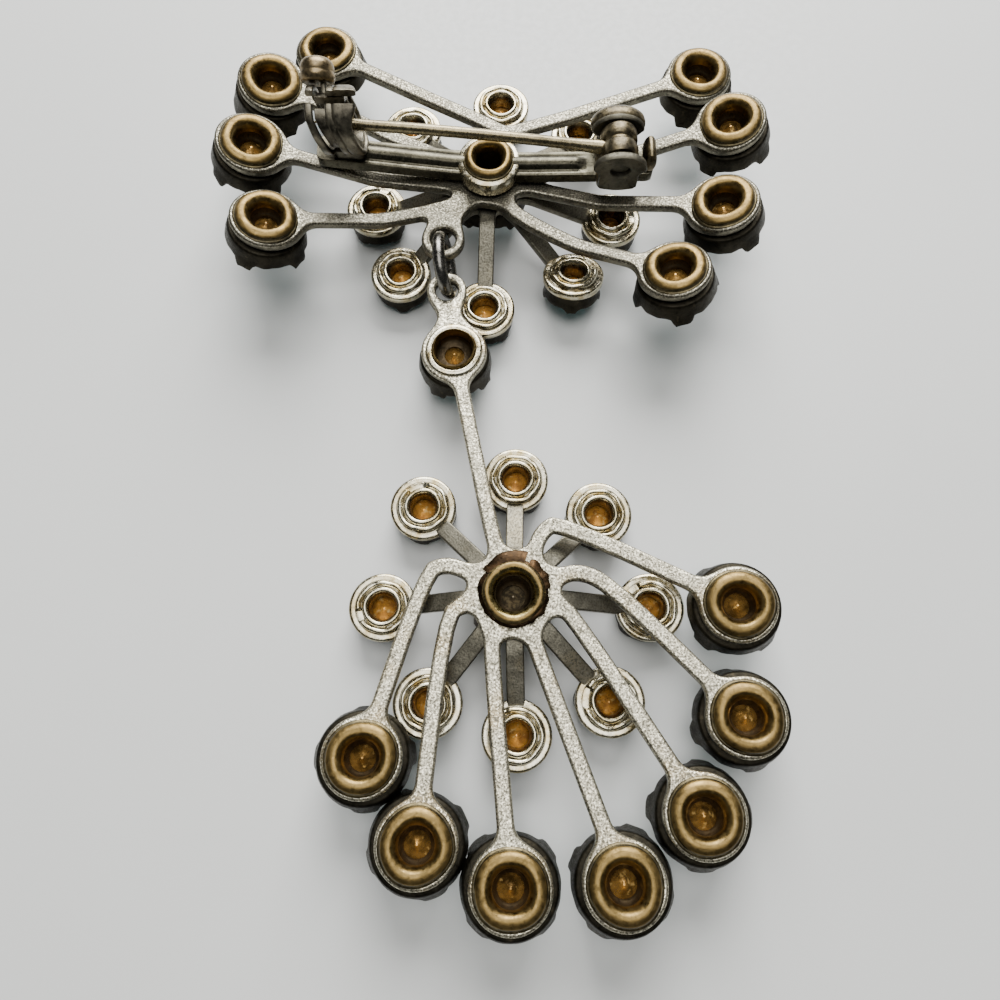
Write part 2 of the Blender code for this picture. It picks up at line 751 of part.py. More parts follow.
def hinge_pieces():
    """Ears, pivot, far cap, the bed under them and the curled end."""
    face = BARREL_LENGTH / 2 + HINGE_CLEARANCE
    ear_y = face + EAR_T / 2
    bar_high = BAR_TOP + bar_rise(PIVOT_X)
    bed_t = BAR_T * 0.5
    bed_z = bar_high - BAR_T * 0.4
    pieces = [block((EAR_WIDTH * 0.8, 2 * (face + EAR_T), bed_t), (PIVOT_X, PIVOT_Y, bed_z))]
    for side in (-1, 1):
        ear = PIVOT_Y + side * ear_y
        pieces.append(along_y(oval(rod(1.0, EAR_T, 12), EAR_WIDTH, EAR_HEIGHT), PIVOT_X, ear, PIVOT_Z))
        height = PIVOT_Z - bed_z
        pieces.append(block((EAR_WIDTH * 0.75, EAR_T * 0.96, height), (PIVOT_X, ear, PIVOT_Z - height / 2)))
    span = 2 * face + EAR_T
    pieces.append(along_y(rod(PIVOT_R, span, 12), PIVOT_X, PIVOT_Y, PIVOT_Z))
    pieces.append(along_y(cap_mesh(), PIVOT_X, PIVOT_Y + face + EAR_T * 0.9, PIVOT_Z))
    curl = oval(rod(1.0, BAR_WIDTH * 0.9, 12), 2 * CURL_HALF_WIDTH, 2 * CURL_HALF_HEIGHT)
    pieces.append(along_y(curl, CURL_X, bar_y(CURL_X), BAR_TOP + bar_rise(CURL_X) + CURL_ABOVE_BAR))
    return pieces


def oval(mesh, width, height):
    """Stretches a piece turned at radius 1 to this width and height."""
    mesh.transform(Matrix.Diagonal((width / 2, height / 2, 1.0, 1.0)))
    return mesh


def cap_mesh():
    """The pivot's rounded far end. Height 0 is the ear's face."""
    profile = [
        (0.07, CAP_T),
        (0.6, CAP_T * 0.92),
        (0.97, CAP_T * 0.55),
        (0.97, CAP_T * 0.3),
        (0.75, 0.0),
        (0.07, 0.0),
    ]
    return oval(turned(profile, 12), CAP_WIDTH, CAP_HEIGHT)


def case_pieces():
    """The two flanges of the catch's case on its foot."""
    rings = []
    for side, flange in ((-1, LEFT_FLANGE), (1, RIGHT_FLANGE)):
        middle = CATCH_X + side * (CASE_GROOVE + flange) / 2
        rings.append(along_x(tube(CASE_INNER, CASE_R, flange, RING_SIDES), middle, CATCH_Y, CATCH_Z))
    top = CATCH_Z - CASE_R + CASE_WALL * 0.5
    low = BAR_TOP + bar_rise(CASE_X) - BAR_T * 0.5
    foot = block((CASE_LENGTH * 0.84, FOOT_WIDTH, top - low), (CASE_X, CATCH_Y, (top + low) / 2))
    return rings + [foot]


def bar_mesh():
    """Pin bar with rib, washer, hinge ears, pivot and the catch's grooved case."""
    washer_t = WASHER_TOP - BAR_BOTTOM
    washer = shifted(rod(WASHER_R, washer_t, 18), *STACK_SHIFT, BAR_BOTTOM + washer_t / 2)
    body = combined(strip_mesh(), [washer] + hinge_pieces() + case_pieces())
    near = BARREL_LENGTH / 2 + HINGE_CLEARANCE + EAR_T
    ear_hole = along_y(rod(EAR_HOLE_R, 2 * EAR_HOLE_DEPTH, 12), PIVOT_X, PIVOT_Y - near, PIVOT_Z)
    rivet_hole = shifted(rod(BROOCH_STACK.drill_r, 6 * BAR_T, 12), *STACK_SHIFT, BAR_TOP)
    return tidied(combined(body, [ear_hole, rivet_hole, mouth(2 * CASE_R)], "DIFFERENCE"))


def sleeve_mesh():
    """The catch's turning sleeve with its lever, cut open for the stem."""
    sleeve = along_x(tube(SLEEVE_INNER, SLEEVE_OUTER, SLEEVE_LENGTH, RING_SIDES), CASE_X, CATCH_Y, CATCH_Z)
    sleeve = combined(sleeve, [mouth(CASE_R)], "DIFFERENCE")
    knob_start = CASE_R + KNOB_CLEARANCE
    neck_start = SLEEVE_OUTER - SLEEVE_WALL * 0.5
    neck_length = knob_start + KNOB_LENGTH * 0.3 - neck_start
    neck = shifted(rod(LEVER_NECK_R, neck_length, 10), 0, 0, neck_start + neck_length / 2)
    profile = [
        (0.1, KNOB_LENGTH),
        (KNOB_R * 0.62, KNOB_LENGTH * 0.97),
        (KNOB_R * 0.92, KNOB_LENGTH * 0.78),
        (KNOB_R * 0.94, KNOB_LENGTH * 0.56),
        (KNOB_R, KNOB_LENGTH * 0.42),
        (KNOB_R, KNOB_LENGTH * 0.14),
        (KNOB_R * 0.8, 0.0),
        (0.1, 0.0),
    ]
    knob = combined(turned(profile, 14), [shifted(rod(0.3, KNOB_LENGTH * 0.9, 8), 0, 0, KNOB_LENGTH * 0.5)])
    knob = shifted(knob, 0, 0, knob_start)
    lean = Matrix.Rotation(-math.radians(90.0 - LEVER_ANGLE), 4, "X")
    place = Matrix.Translation((CATCH_X, CATCH_Y, CATCH_Z)) @ lean
    return combined(sleeve, [moved(neck, place), moved(knob, place)])


def stem_mesh():
    """The pin stem: a pointed wire that starts at a rolled barrel."""
    tip = Vector((CASE_X - CASE_LENGTH / 2 + 0.2, CATCH_Y + STEM_OFFSET, CATCH_Z))
    start = Vector((PIVOT_X - (BARREL_R + PIVOT_R + HINGE_CLEARANCE) / 2, PIVOT_Y, PIVOT_Z))
    steps = 10
    points, radii = [], []
    for i in range(steps + 1):
        share = i / steps
        spot = start.lerp(tip, share)
        spot.z += STEM_BOW * math.sin(math.pi * share)
        points.append(spot)
        radii.append(min(1.0, max(0.2, (spot.x - tip.x) / STEM_TIP)))
    shaft = wire(points, STEM_R, radii, resolution=2)
    inner = PIVOT_R + HINGE_CLEARANCE
    h = BARREL_LENGTH / 2
    profile = [
        (inner, h),
        (BARREL_R * 0.92, h),
        (BARREL_R, h * 0.7),
        (BARREL_R, h * 0.25),
        (BARREL_R * 0.88, h * 0.1),
        (BARREL_R, -h * 0.1),
        (BARREL_R, -h * 0.75),
        (BARREL_R * 0.92, -h),
        (inner, -h),
    ]
    return combined(along_y(turned(profile, 16), PIVOT_X, PIVOT_Y, PIVOT_Z), [shaft])


def ring_mesh(top_loop, low_loop):
    """The oval jump ring, standing on edge through both loops."""
    middle = (top_loop + low_loop) / 2
    way = (low_loop - top_loop).to_2d()
    half = way.length / 2 + RING_OVERSHOOT
    along = way.normalized()
    points = []
    for i in range(RING_STEPS):
        a = 2 * math.pi * i / RING_STEPS
        spot = middle.to_2d() + along * (half * math.cos(a))
        points.append((spot.x, spot.y, RING_Z + RING_HALF_HEIGHT * math.sin(a)))
    return wire(points, RING_WIRE_R, cyclic=True, resolution=1)


# Materials
def finish(name, colour, roughness, metallic):
    material = bpy.data.materials.new(name)
    material.use_nodes = True
    shader = material.node_tree.nodes["Principled BSDF"]
    shader.inputs["Base Color"].default_value = (*colour, 1.0)
    shader.inputs["Roughness"].default_value = roughness
    shader.inputs["Metallic"].default_value = metallic
    material.diffuse_color = (*colour, 1.0)
    return material


# Placing
def add(name, mesh, material, parent, matrix=None, origin=None):
    """Adds a node to the brooch. Its mesh, in millimetres, becomes metres about its origin."""
    if "in_metres" not in mesh:
        if origin is not None:
            mesh.transform(Matrix.Translation(-Vector(origin)))
        mesh.transform(Matrix.Scale(MM, 4))
        mesh["in_metres"] = True
        mesh.shade_smooth()
        mesh.set_sharp_from_angle(angle=math.radians(35.0))
    obj = bpy.data.objects.new(name, mesh)
    obj.data.materials.clear()
    obj.data.materials.append(material)
    bpy.data.collections[OBJECT_NAME].objects.link(obj)
    obj.parent = parent
    place = matrix.copy() if matrix is not None else Matrix.Identity(4)
    place.translation *= MM
    if origin is not None:
        place = Matrix.Translation(Vector(origin) * MM)
    obj.matrix_local = place
    return obj


def pad_place(arm, spray, plate_top):
    """Where a pad's setting stands: its centre, turned to the arm's bearing and slope."""
    _, bearing, share, rise, _ = arm
    spot = polar(share * spray.reach, bearing)
    slope = spray.slope(rise)
    height = plate_top + slope * (share * spray.reach - spray.bend_start)
    turn = Matrix.Rotation(math.radians(bearing), 4, "Z")
    tilt = Matrix.Rotation(-math.atan(slope), 4, "Y")
    return Matrix.Translation((spot.x, spot.y, height)) @ turn @ tilt


def cleared_scene():
    for obj in list(bpy.data.objects):
        bpy.data.objects.remove(obj)
    collection = bpy.data.collections.new(OBJECT_NAME)
    bpy.context.scene.collection.children.link(collection)


def seated_on_origin(root):
    """Moves the whole brooch so that its box stands on the origin."""
    bpy.context.view_layer.update()
    corners = [o.matrix_world @ v.co for o in root.children_recursive if o.type == "MESH" for v in o.data.vertices]
    low = [min(c[k] for c in corners) for k in range(3)]
    high = [max(c[k] for c in corners) for k in range(3)]
    root.location = (-(low[0] + high[0]) / 2, -(low[1] + high[1]) / 2, -low[2])
    bpy.context.view_layer.update()


def empty(name, parent, place):
    """An empty that carries one unit or one moving piece."""
    obj = bpy.data.objects.new(name, None)
    bpy.data.collections[OBJECT_NAME].objects.link(obj)
    obj.parent = parent
    obj.location = Vector(place) * MM
    return obj


def build():
    cleared_scene()
    silver = finish("grey_plate", (0.62, 0.61, 0.57), 0.38, 1.0)
    cup_metal = finish("dark_cup", (0.24, 0.22, 0.17), 0.45, 1.0)
    centre_metal = finish("brass_rivet", (0.55, 0.42, 0.2), 0.35, 1.0)
    stone = finish("foiled_stone", (0.35, 0.5, 0.55), 0.08, 0.0)
    dark = finish("gunmetal_ring", (0.2, 0.2, 0.2), 0.35, 1.0)
    bar_metal = finish("nickel_bar", (0.5, 0.49, 0.44), 0.35, 1.0)
    stem_metal = finish("brown_stem", (0.42, 0.36, 0.26), 0.3, 1.0)
    lever_metal = finish("brass_lever", (0.6, 0.48, 0.26), 0.3, 1.0)

    root = empty("brooch_root", None, (0, 0, 0))
    brooch = empty("brooch_unit", root, (0, 0, 0))
    drop = empty("drop_unit", root, (*HUB_OFFSET, 0))

    spray_lift = Matrix.Translation((0, 0, BROOCH_STACK.spray_top))
    drop_lift = Matrix.Translation((0, 0, DROP_STACK.spray_top))
    add("brooch_spray", brooch_spray_mesh(), silver, brooch, spray_lift)
    add("drop_spray", drop_spray_mesh(), silver, drop, drop_lift)
    add("brooch_star", star_mesh(BROOCH_STAR_ARMS, BROOCH_STACK, BROOCH_STAR_DROOP), silver, brooch)
    add("drop_star", star_mesh(DROP_STAR_ARMS, DROP_STACK, DROP_STAR_DROOP), silver, drop)

    cup = setting_mesh(SPRAY_PLATE, RIVET_HOLE_R, RIVET_RIM_R)
    large = stone_mesh(STONE_R, STONE_CROWN, STONE_PAVILION, STONE_SIDES)
    narrow = Matrix.Diagonal((STEM_SETTING_SHARE, STEM_SETTING_SHARE, 1.0, 1.0))
    stem_cup = moved(cup, narrow)
    stem_stone = moved(large, narrow)
    stone_depth = SPRAY_PLATE + SEAT_GAP
    stone_depth += girdle_drop(CUP_DEPTH, CUP_FLOOR, CUP_R, CUP_LIP, RIVET_HOLE_R, STONE_R)
    sets = [("brooch", a, BROOCH_SPRAY, BROOCH_STACK, brooch, cup, large) for a in BROOCH_ARMS]
    sets += [("drop", a, DROP_SPRAY, DROP_STACK, drop, cup, large) for a in DROP_ARMS]
    sets.append(("drop", STEM_ARM, DROP_SPRAY, DROP_STACK, drop, stem_cup, stem_stone))
    for unit, arm, spray, stack, parent, cup_form, stone_form in sets:
        place = pad_place(arm, spray, stack.spray_top)
        add(f"{unit}_cup_{arm[0]}", cup_form, cup_metal, parent, place)
        below = place @ Matrix.Translation((0, 0, -stone_depth))
        add(f"{unit}_stone_{arm[0]}", stone_form, stone, parent, below)

    small = stone_mesh(SMALL_STONE_R, SMALL_CROWN, SMALL_PAVILION, SMALL_STONE_SIDES)
    for unit, arms, parent in (("brooch", BROOCH_STAR_ARMS, brooch), ("drop", DROP_STAR_ARMS, drop)):
        for i, arm in enumerate(arms):
            place = star_place(arm) @ Matrix.Translation((0, 0, -SMALL_DROP))
            add(f"{unit}_star_stone_{i + 1}", small, stone, parent, place)

    for unit, stack, top, parent in (
        ("brooch", BROOCH_STACK, WASHER_TOP, brooch),
        ("drop", DROP_STACK, DROP_STACK.spray_top, drop),
    ):
        mesh = setting_mesh(top - stack.star_bottom, stack.hole_r, stack.rim_r)
        if unit == "drop":
            mesh = combined(mesh, [petal_flange()])
        add(f"{unit}_centre_cup", mesh, centre_metal, parent, Matrix.Translation((*stack.centre, top)))
        drop_by = girdle_drop(CUP_DEPTH, CUP_FLOOR, CUP_R, CUP_LIP, stack.hole_r, STONE_R) + SEAT_GAP
        place = Matrix.Translation((*stack.centre, stack.star_bottom - drop_by))
        add(f"{unit}_centre_stone", large, stone, parent, place)

    top_loop = polar(BROOCH_LOOP_ARM[1] * BROOCH_REACH, BROOCH_LOOP_ARM[0]).to_3d()
    top_loop.z = BROOCH_STACK.spray_top - SPRAY_PLATE / 2
    low_loop = polar(DROP_LOOP_ARM[1] * DROP_REACH, DROP_LOOP_ARM[0]).to_3d() + Vector((*HUB_OFFSET, 0))
    low_loop.z = DROP_STACK.spray_top - SPRAY_PLATE / 2
    add("jump_ring", ring_mesh(top_loop, low_loop), dark, brooch)

    add("pin_bar", bar_mesh(), bar_metal, brooch)
    add("pin_stem", stem_mesh(), stem_metal, brooch, origin=(PIVOT_X, PIVOT_Y, PIVOT_Z))
    add("catch_sleeve", sleeve_mesh(), lever_metal, brooch, origin=(CATCH_X, CATCH_Y, CATCH_Z))
    seated_on_origin(root)


build()
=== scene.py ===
"""Drop brooch lying on its stones with its back up: the finished look over its measured frame.

Shapes are worked out in millimetres about each unit's hub and turned into metres as they are placed.
"""

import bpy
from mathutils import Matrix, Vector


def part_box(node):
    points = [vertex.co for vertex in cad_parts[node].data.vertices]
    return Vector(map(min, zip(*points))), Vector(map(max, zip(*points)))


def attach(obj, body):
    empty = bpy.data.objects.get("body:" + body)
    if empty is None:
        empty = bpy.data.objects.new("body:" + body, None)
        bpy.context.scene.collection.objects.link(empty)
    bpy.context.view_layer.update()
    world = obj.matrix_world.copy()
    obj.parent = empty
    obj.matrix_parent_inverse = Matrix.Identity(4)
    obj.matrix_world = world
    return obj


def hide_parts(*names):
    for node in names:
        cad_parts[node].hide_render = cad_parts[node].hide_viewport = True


bl_info = {
    "name": "Drop brooch",
    "version": (1, 0, 0),
    "blender": (4, 5, 0),
    "location": "3D View > Sidebar > Drop brooch",
    "description": "Dresses the drop brooch: grainy plates, rolled rivets, cups, stones, pin and catch",
    "category": "Object",
}

import math

import bmesh
import bpy
import numpy as np
from mathutils import Matrix, Vector
from mathutils.geometry import delaunay_2d_cdt

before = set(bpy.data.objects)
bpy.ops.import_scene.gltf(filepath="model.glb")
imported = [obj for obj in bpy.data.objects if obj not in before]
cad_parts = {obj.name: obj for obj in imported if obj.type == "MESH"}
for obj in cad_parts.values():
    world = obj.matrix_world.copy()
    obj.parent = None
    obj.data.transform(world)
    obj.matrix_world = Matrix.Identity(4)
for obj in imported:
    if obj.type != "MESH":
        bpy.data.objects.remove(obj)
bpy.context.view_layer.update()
MM = 0.001


def hub_of(node):
    """The middle of a centre stone in plan, in millimetres."""
    low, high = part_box(node)
    return np.array([(low[0] + high[0]) / 2, (low[1] + high[1]) / 2]) / MM


# The brooch's rivet stands a little off the centre that its arms are laid out from.
STACK_SHIFT = np.array([0.05, 0.85])
BROOCH_RIVET = hub_of("brooch_centre_stone")
BROOCH_HUB = BROOCH_RIVET - STACK_SHIFT
DROP_HUB = hub_of("drop_centre_stone")

# Heights in millimetres above the surface
STAR_PAD_TOP = 2.63
BROOCH_STAR_TOP = 4.63
DROP_STAR_TOP = 3.73
BROOCH_SPRAY_TOP = 5.68
DROP_SPRAY_TOP = 4.78
BAR_BOTTOM = 5.93
BAR_TOP = 6.93
WASHER_TOP = 7.23
RING_MIDDLE = 5.0

# Reach, bend line and rise of each spray; reach, bend line and end of the stars' arms
BROOCH_REACH, BROOCH_BEND, BROOCH_RISE = 19.5, 9.75, 2.75
DROP_REACH, DROP_BEND, DROP_RISE = 20.0, 6.0, 1.4
STAR_REACH, STAR_BEND, STAR_ARM_SHORT = 10.0, 3.7, 1.8

# Radii of the hubs and of the holes in the plates
BROOCH_HUB_DISC, DROP_HUB_DISC, STAR_HUB_DISC = 3.1, 3.3, 2.6
BROOCH_RIVET_HOLE, DROP_RIVET_HOLE, PAD_HOLE = 1.75, 2.0, 2.1

# The pin bar, its hinge and its catch, from the brooch's centre
BAR_ENDS = (-14.2, 13.7)
BAR_SKEW = -0.04
BAR_FLAT = 2.8
BAR_RISES = (1.2, 0.7)
BAR_WIDTH = 2.4
BAR_GAP_HALF = 2.0
RIB_ENDS = (-10.9, 8.25)
PIVOT = (10.7, 0.36, 9.18)
EAR_HALF, EAR_UP, EAR_T = 2.15, 1.5, 0.7
CAP_HALF, CAP_UP = 2.25, 1.55
BARREL_R, BARREL_HALF = 1.52, 1.4
CURL_X = 13.3
CATCH = (-13.3, 1.35, 11.03)
CASE_R, CASE_WALL = 2.5, 0.44
CASE_LEFT, CASE_RIGHT = -0.8, 2.375
CASE_LEANS = ((0, 130, 150, 180, 215, 275, 360), (0, 0.15, 0.4, 0.8, 1.1, 1.1, 0))
SLEEVE_R, SLEEVE_WALL = 1.95, 0.55
SLEEVE_ENDS = (-0.15, 2.15)
STEM_Y = 1.25
MOUTH_HALF = 0.52
LEVER_ANGLE = 32.0

# Name, bearing in degrees, share of reach, share of rise, and knots as (share, bearing).
BROOCH_ARMS = (
    ("left_1", 136.9, 1.03, 0.1, ((0.12, 74.0), (0.27, 74.0), (0.34, 96.7))),
    ("left_2", 155.8, 1.05, 0.75, ((0.12, 140.0), (0.57, 151.1))),
    ("left_3", 175.3, 1.01, 1.0, ((0.13, -170.8),)),
    ("left_4", -163.2, 0.96, 0.96, ((0.11, -144.0), (0.22, -141.5))),
    ("right_1", 30.1, 1.11, 0.2, ((0.12, 74.0), (0.27, 74.0), (0.35, 58.2))),
    ("right_2", 10.5, 1.06, 0.9, ((0.12, 14.0),)),
    ("right_3", -12.5, 1.0, 1.0, ((0.16, -7.1),)),
    ("right_4", -33.7, 0.92, 0.93, ((0.08, -60.0), (0.28, -50.6))),
)
DROP_ARMS = (
    ("1", -132.6, 0.78, 0.86, ((0.12, 152.0), (0.2, 153.6), (0.28, 156.3), (0.34, 166.5))),
    ("2", -111.2, 0.91, 0.93, ((0.12, -172.0), (0.18, -170.7), (0.27, -161.0))),
    ("3", -90.9, 0.98, 0.93, ((0.12, -125.0), (0.17, -121.5))),
    ("4", -69.7, 1.03, 1.0, ((0.13, -65.5),)),
    ("5", -50.0, 0.99, 1.0, ((0.12, -10.0), (0.16, -11.3), (0.25, -22.3))),
    ("6", -28.6, 0.92, 0.93, ((0.12, 24.0), (0.16, 23.0), (0.28, 18.3), (0.39, 0.8))),
    ("7", -3.2, 0.82, 0.86, ((0.12, 62.0), (0.16, 63.1), (0.26, 65.7), (0.33, 57.8))),
    ("stem", 103.5, 1.02, 0.0, ((0.12, 112.0), (0.24, 109.9))),
)
STEM_PAD_SHARE, STEM_SETTING_SHARE = 0.95, 0.88

# Knots of each loop's arm, half its width, webs beside it as (spot, radius), the loop's radius and hole.
BROOCH_LOOP = (((0.1, -144.0), (0.22, -128.8), (0.35, -123.8)), 0.62, (((-4.0, -3.5), 0.85),), 1.8, 1.05)
DROP_LOOP = (((1.02, 103.5), (1.3, 102.1)), 1.0, (), 1.6, 0.95)

# Bearing in degrees, share of reach, and lean of the cup in degrees.
BROOCH_STAR = (
    (84.3, 1.08, 0.0),
    (42.0, 1.12, 0.0),
    (-7.8, 1.1, 0.0),
    (-45.9, 1.05, 16.0),
    (-92.0, 1.05, 0.0),
    (-137.4, 1.04, 0.0),
    (-177.5, 1.01, 0.0),
    (131.0, 1.08, 0.0),
)
DROP_STAR = (
    (88.5, 0.95, 0.0),
    (44.2, 0.95, 0.0),
    (-4.0, 1.05, 0.0),
    (-47.2, 1.05, 0.0),
    (-88.8, 1.01, 0.0),
    (-129.1, 1.01, 0.0),
    (-175.8, 1.0, 0.0),
    (134.7, 1.01, 0.0),
)
# Petals of the drop's rivet flange: bearings and reaches where each starts and ends.
PETALS = (
    (70.0, 3.35, 143.0, 2.95),
    (146.0, 2.8, 228.0, 2.6),
    (231.0, 2.5, 282.0, 2.75),
    (296.0, 2.65, 353.0, 2.75),
    (6.0, 2.85, 62.0, 3.0),
)

# Radius, crown and pavilion of the stones, and how far below its seat each girdle lies
LARGE_STONE, LARGE_STONE_DROP = (2.7, 0.6, 1.6), 2.29
SMALL_STONE, SMALL_STONE_DROP = (2.05, 0.48, 1.15), 1.85
CENTRE_STONE_LIFT = 0.75

# The camera's place from the brooch's hub, and the lamps as name, place, width and power
CAMERA_SHIFT, CAMERA_HEIGHT, CAMERA_TILT, CAMERA_LENS = (0.99, -44.06), 60.0, 16.0, 27.0
LAMPS = (
    ("window_light", (0.03, 0.34, 0.26), 0.3, 4.8),
    ("overhead_softbox", (0.0, 0.01, 0.5), 0.34, 1.7),
)
SKY_COLOUR, SKY_STRENGTH = (0.82, 0.86, 0.86, 1.0), 0.13


class BroochSizes(bpy.types.PropertyGroup):
    """Sizes of the brooch's pieces."""

    plate: bpy.props.FloatProperty(
        name="Spray plate", description="Thickness of the two sprays", default=0.0008, unit="LENGTH"
    )
    star_plate: bpy.props.FloatProperty(
        name="Star plate", description="Thickness of the two stars", default=0.0007, unit="LENGTH"
    )
    arm: bpy.props.FloatProperty(
        name="Arm width", description="Width of the sprays' arms", default=0.0012, unit="LENGTH"
    )
    star_arm: bpy.props.FloatProperty(
        name="Star arm width", description="Width of the stars' arms", default=0.00135, unit="LENGTH"
    )
    pad: bpy.props.FloatProperty(
        name="Pad radius", description="Radius of the pads at the arms' ends", default=0.00282, unit="LENGTH"
    )
    fillet: bpy.props.FloatProperty(
        name="Fillet", description="Roundness where arms run together", default=0.0011, unit="LENGTH"
    )
    rim: bpy.props.FloatProperty(
        name="Rivet rim", description="Radius of the large rolled rims", default=0.0026, unit="LENGTH"
    )
    hole: bpy.props.FloatProperty(
        name="Rivet hole", description="Hole radius of the large rivets", default=0.00122, unit="LENGTH"
    )
    cup: bpy.props.FloatProperty(
        name="Cup radius", description="Radius of the large cups at the lip", default=0.0033, unit="LENGTH"
    )
    small_rim: bpy.props.FloatProperty(
        name="Small rim", description="Radius of the stars' rolled rims", default=0.00205, unit="LENGTH"
    )
    ring_wire: bpy.props.FloatProperty(
        name="Ring wire", description="Radius of the jump ring's wire", default=0.00052, unit="LENGTH"
    )
    stem_wire: bpy.props.FloatProperty(
        name="Stem wire", description="Radius of the pin stem's wire", default=0.00043, unit="LENGTH"
    )


class BroochFinishes(bpy.types.PropertyGroup):
    """Colours of the brooch's metals, stones and surroundings."""

    plated: bpy.props.FloatVectorProperty(
        name="Plating", description="Sprays and stars", subtype="COLOR", size=3, default=(0.47, 0.435, 0.33)
    )
    brass: bpy.props.FloatVectorProperty(
        name="Brass", description="Worn rivet rims", subtype="COLOR", size=3, default=(0.345, 0.235, 0.085)
    )
    patina: bpy.props.FloatVectorProperty(
        name="Patina", description="Dark cups", subtype="COLOR", size=3, default=(0.027, 0.024, 0.017)
    )
    foil: bpy.props.FloatVectorProperty(
        name="Foil", description="Backs of the stones", subtype="COLOR", size=3, default=(0.4, 0.22, 0.055)
    )
    glass: bpy.props.FloatVectorProperty(
        name="Glass", description="Fronts of the stones", subtype="COLOR", size=3, default=(0.05, 0.3, 0.34)
    )
    nickel: bpy.props.FloatVectorProperty(
        name="Bar", description="Pin bar", subtype="COLOR", size=3, default=(0.1, 0.092, 0.065)
    )
    stem: bpy.props.FloatVectorProperty(
        name="Stem", description="Pin stem", subtype="COLOR", size=3, default=(0.25, 0.21, 0.125)
    )
    ring: bpy.props.FloatVectorProperty(
        name="Ring", description="Jump ring", subtype="COLOR", size=3, default=(0.2, 0.19, 0.17)
    )
    surface: bpy.props.FloatVectorProperty(
        name="Surface", description="Surface below", subtype="COLOR", size=3, default=(0.66, 0.665, 0.64)
    )


def sizes():
    return bpy.context.scene.brooch_sizes


def polar(radius, bearing):
    a = math.radians(bearing)
    return np.array([radius * math.cos(a), radius * math.sin(a)])


# Materials
class Finish:
    """A node material built up step by step."""

    def __init__(self, name, metallic=1.0):
        self.material = bpy.data.materials.new(name)
        self.material.use_nodes = True
        self.tree = self.material.node_tree
        self.shader = self.tree.nodes["Principled BSDF"]
        self.shader.inputs["Metallic"].default_value = metallic
        self.object_space = self.tree.nodes.new("ShaderNodeTexCoord").outputs["Object"]

    def put(self, value, socket):
        """Links an output to a socket, or gives the socket a number or a colour."""
        if isinstance(value, bpy.types.NodeSocket):
            self.tree.links.new(value, socket)
        else:
            socket.default_value = (*value, 1.0) if isinstance(value, tuple) else value

    def node(self, kind, out, inputs, **settings):
        """One output of a new node with these inputs and settings."""
        made = self.tree.nodes.new(kind)
        for key, value in settings.items():
            setattr(made, key, value)
        for key, value in inputs.items():
            self.put(value, made.inputs[key])
        return made.outputs[out]

    def noise(self, per_mm, detail=3.0, roughness=0.55):
        """Noise with about this many patches to the millimetre."""
        inputs = {"Vector": self.object_space, "Scale": per_mm / MM, "Detail": detail, "Roughness": roughness}
        return self.node("ShaderNodeTexNoise", "Fac", inputs)

    def ramp(self, value, low, high, dark=0.0, bright=1.0):
        """Maps a value between low and high to dark and bright."""
        inputs = {"Value": value, "From Min": low, "From Max": high, "To Min": dark, "To Max": bright}
        return self.node("ShaderNodeMapRange", "Result", inputs, interpolation_type="SMOOTHSTEP")

    def mixed(self, share, first, second):
        """Blends two colours, each a colour or an output."""
        inputs = {"Factor": share, "A": first, "B": second}
        return self.node("ShaderNodeMix", "Result", inputs, data_type="RGBA")

    def done(self, colour, roughness, *bumps):
        """Gives the shader its colour, roughness and bumps, each as value, strength and depth in mm."""
        self.put(colour, self.shader.inputs["Base Color"])
        self.put(roughness, self.shader.inputs["Roughness"])
        below = {}
        for value, strength, depth in bumps:
            inputs = {"Height": value, "Strength": strength, "Distance": depth * MM, **below}
            below = {"Normal": self.node("ShaderNodeBump", "Normal", inputs)}
        for normal in below.values():
            self.put(normal, self.shader.inputs["Normal"])
        return self.material


def tone(colour, factor=1.0):
    """A colour as three numbers, or as a finish and a share of it, made darker or brighter."""
    if isinstance(colour[0], str):
        colour, factor = getattr(bpy.context.scene.brooch_finishes, colour[0]), factor * colour[1]
    return tuple(min(1.0, c * factor) for c in colour)


def worn_metal(name, colour, tarnish, wear, roughness, grain, patches, sparkle, relief):
    """A metal with sparkling grain, darker tarnish in patches and brighter rubbed spots."""
    f = Finish(name)
    colour, tarnish, wear = tone(colour), tone(tarnish), tone(wear)
    fine = f.noise(grain, 4.0, 0.75)
    cloud = f.ramp(f.noise(patches, 4.0, 0.65), 0.38, 0.66)
    specks = f.ramp(f.noise(grain * 0.55, 3.0, 0.7), 0.54, 0.68, 0.0, 0.6)
    rubbed = f.ramp(f.noise(1.3, 3.0, 0.6), 0.6, 0.76, 0.0, 0.5)
    grainy = f.mixed(f.ramp(fine, 0.5, 0.68, 0.0, sparkle), f.mixed(cloud, colour, tarnish), wear)
    spotted = f.mixed(specks, grainy, tone(tarnish, 0.5))
    rough = f.ramp(fine, 0.3, 0.7, roughness - 0.1, roughness + 0.14)
    waves = f.noise(patches * 1.6, 2.0)
    return f.done(f.mixed(rubbed, spotted, wear), rough, (waves, 0.4, 0.06), (fine, relief, 0.05))


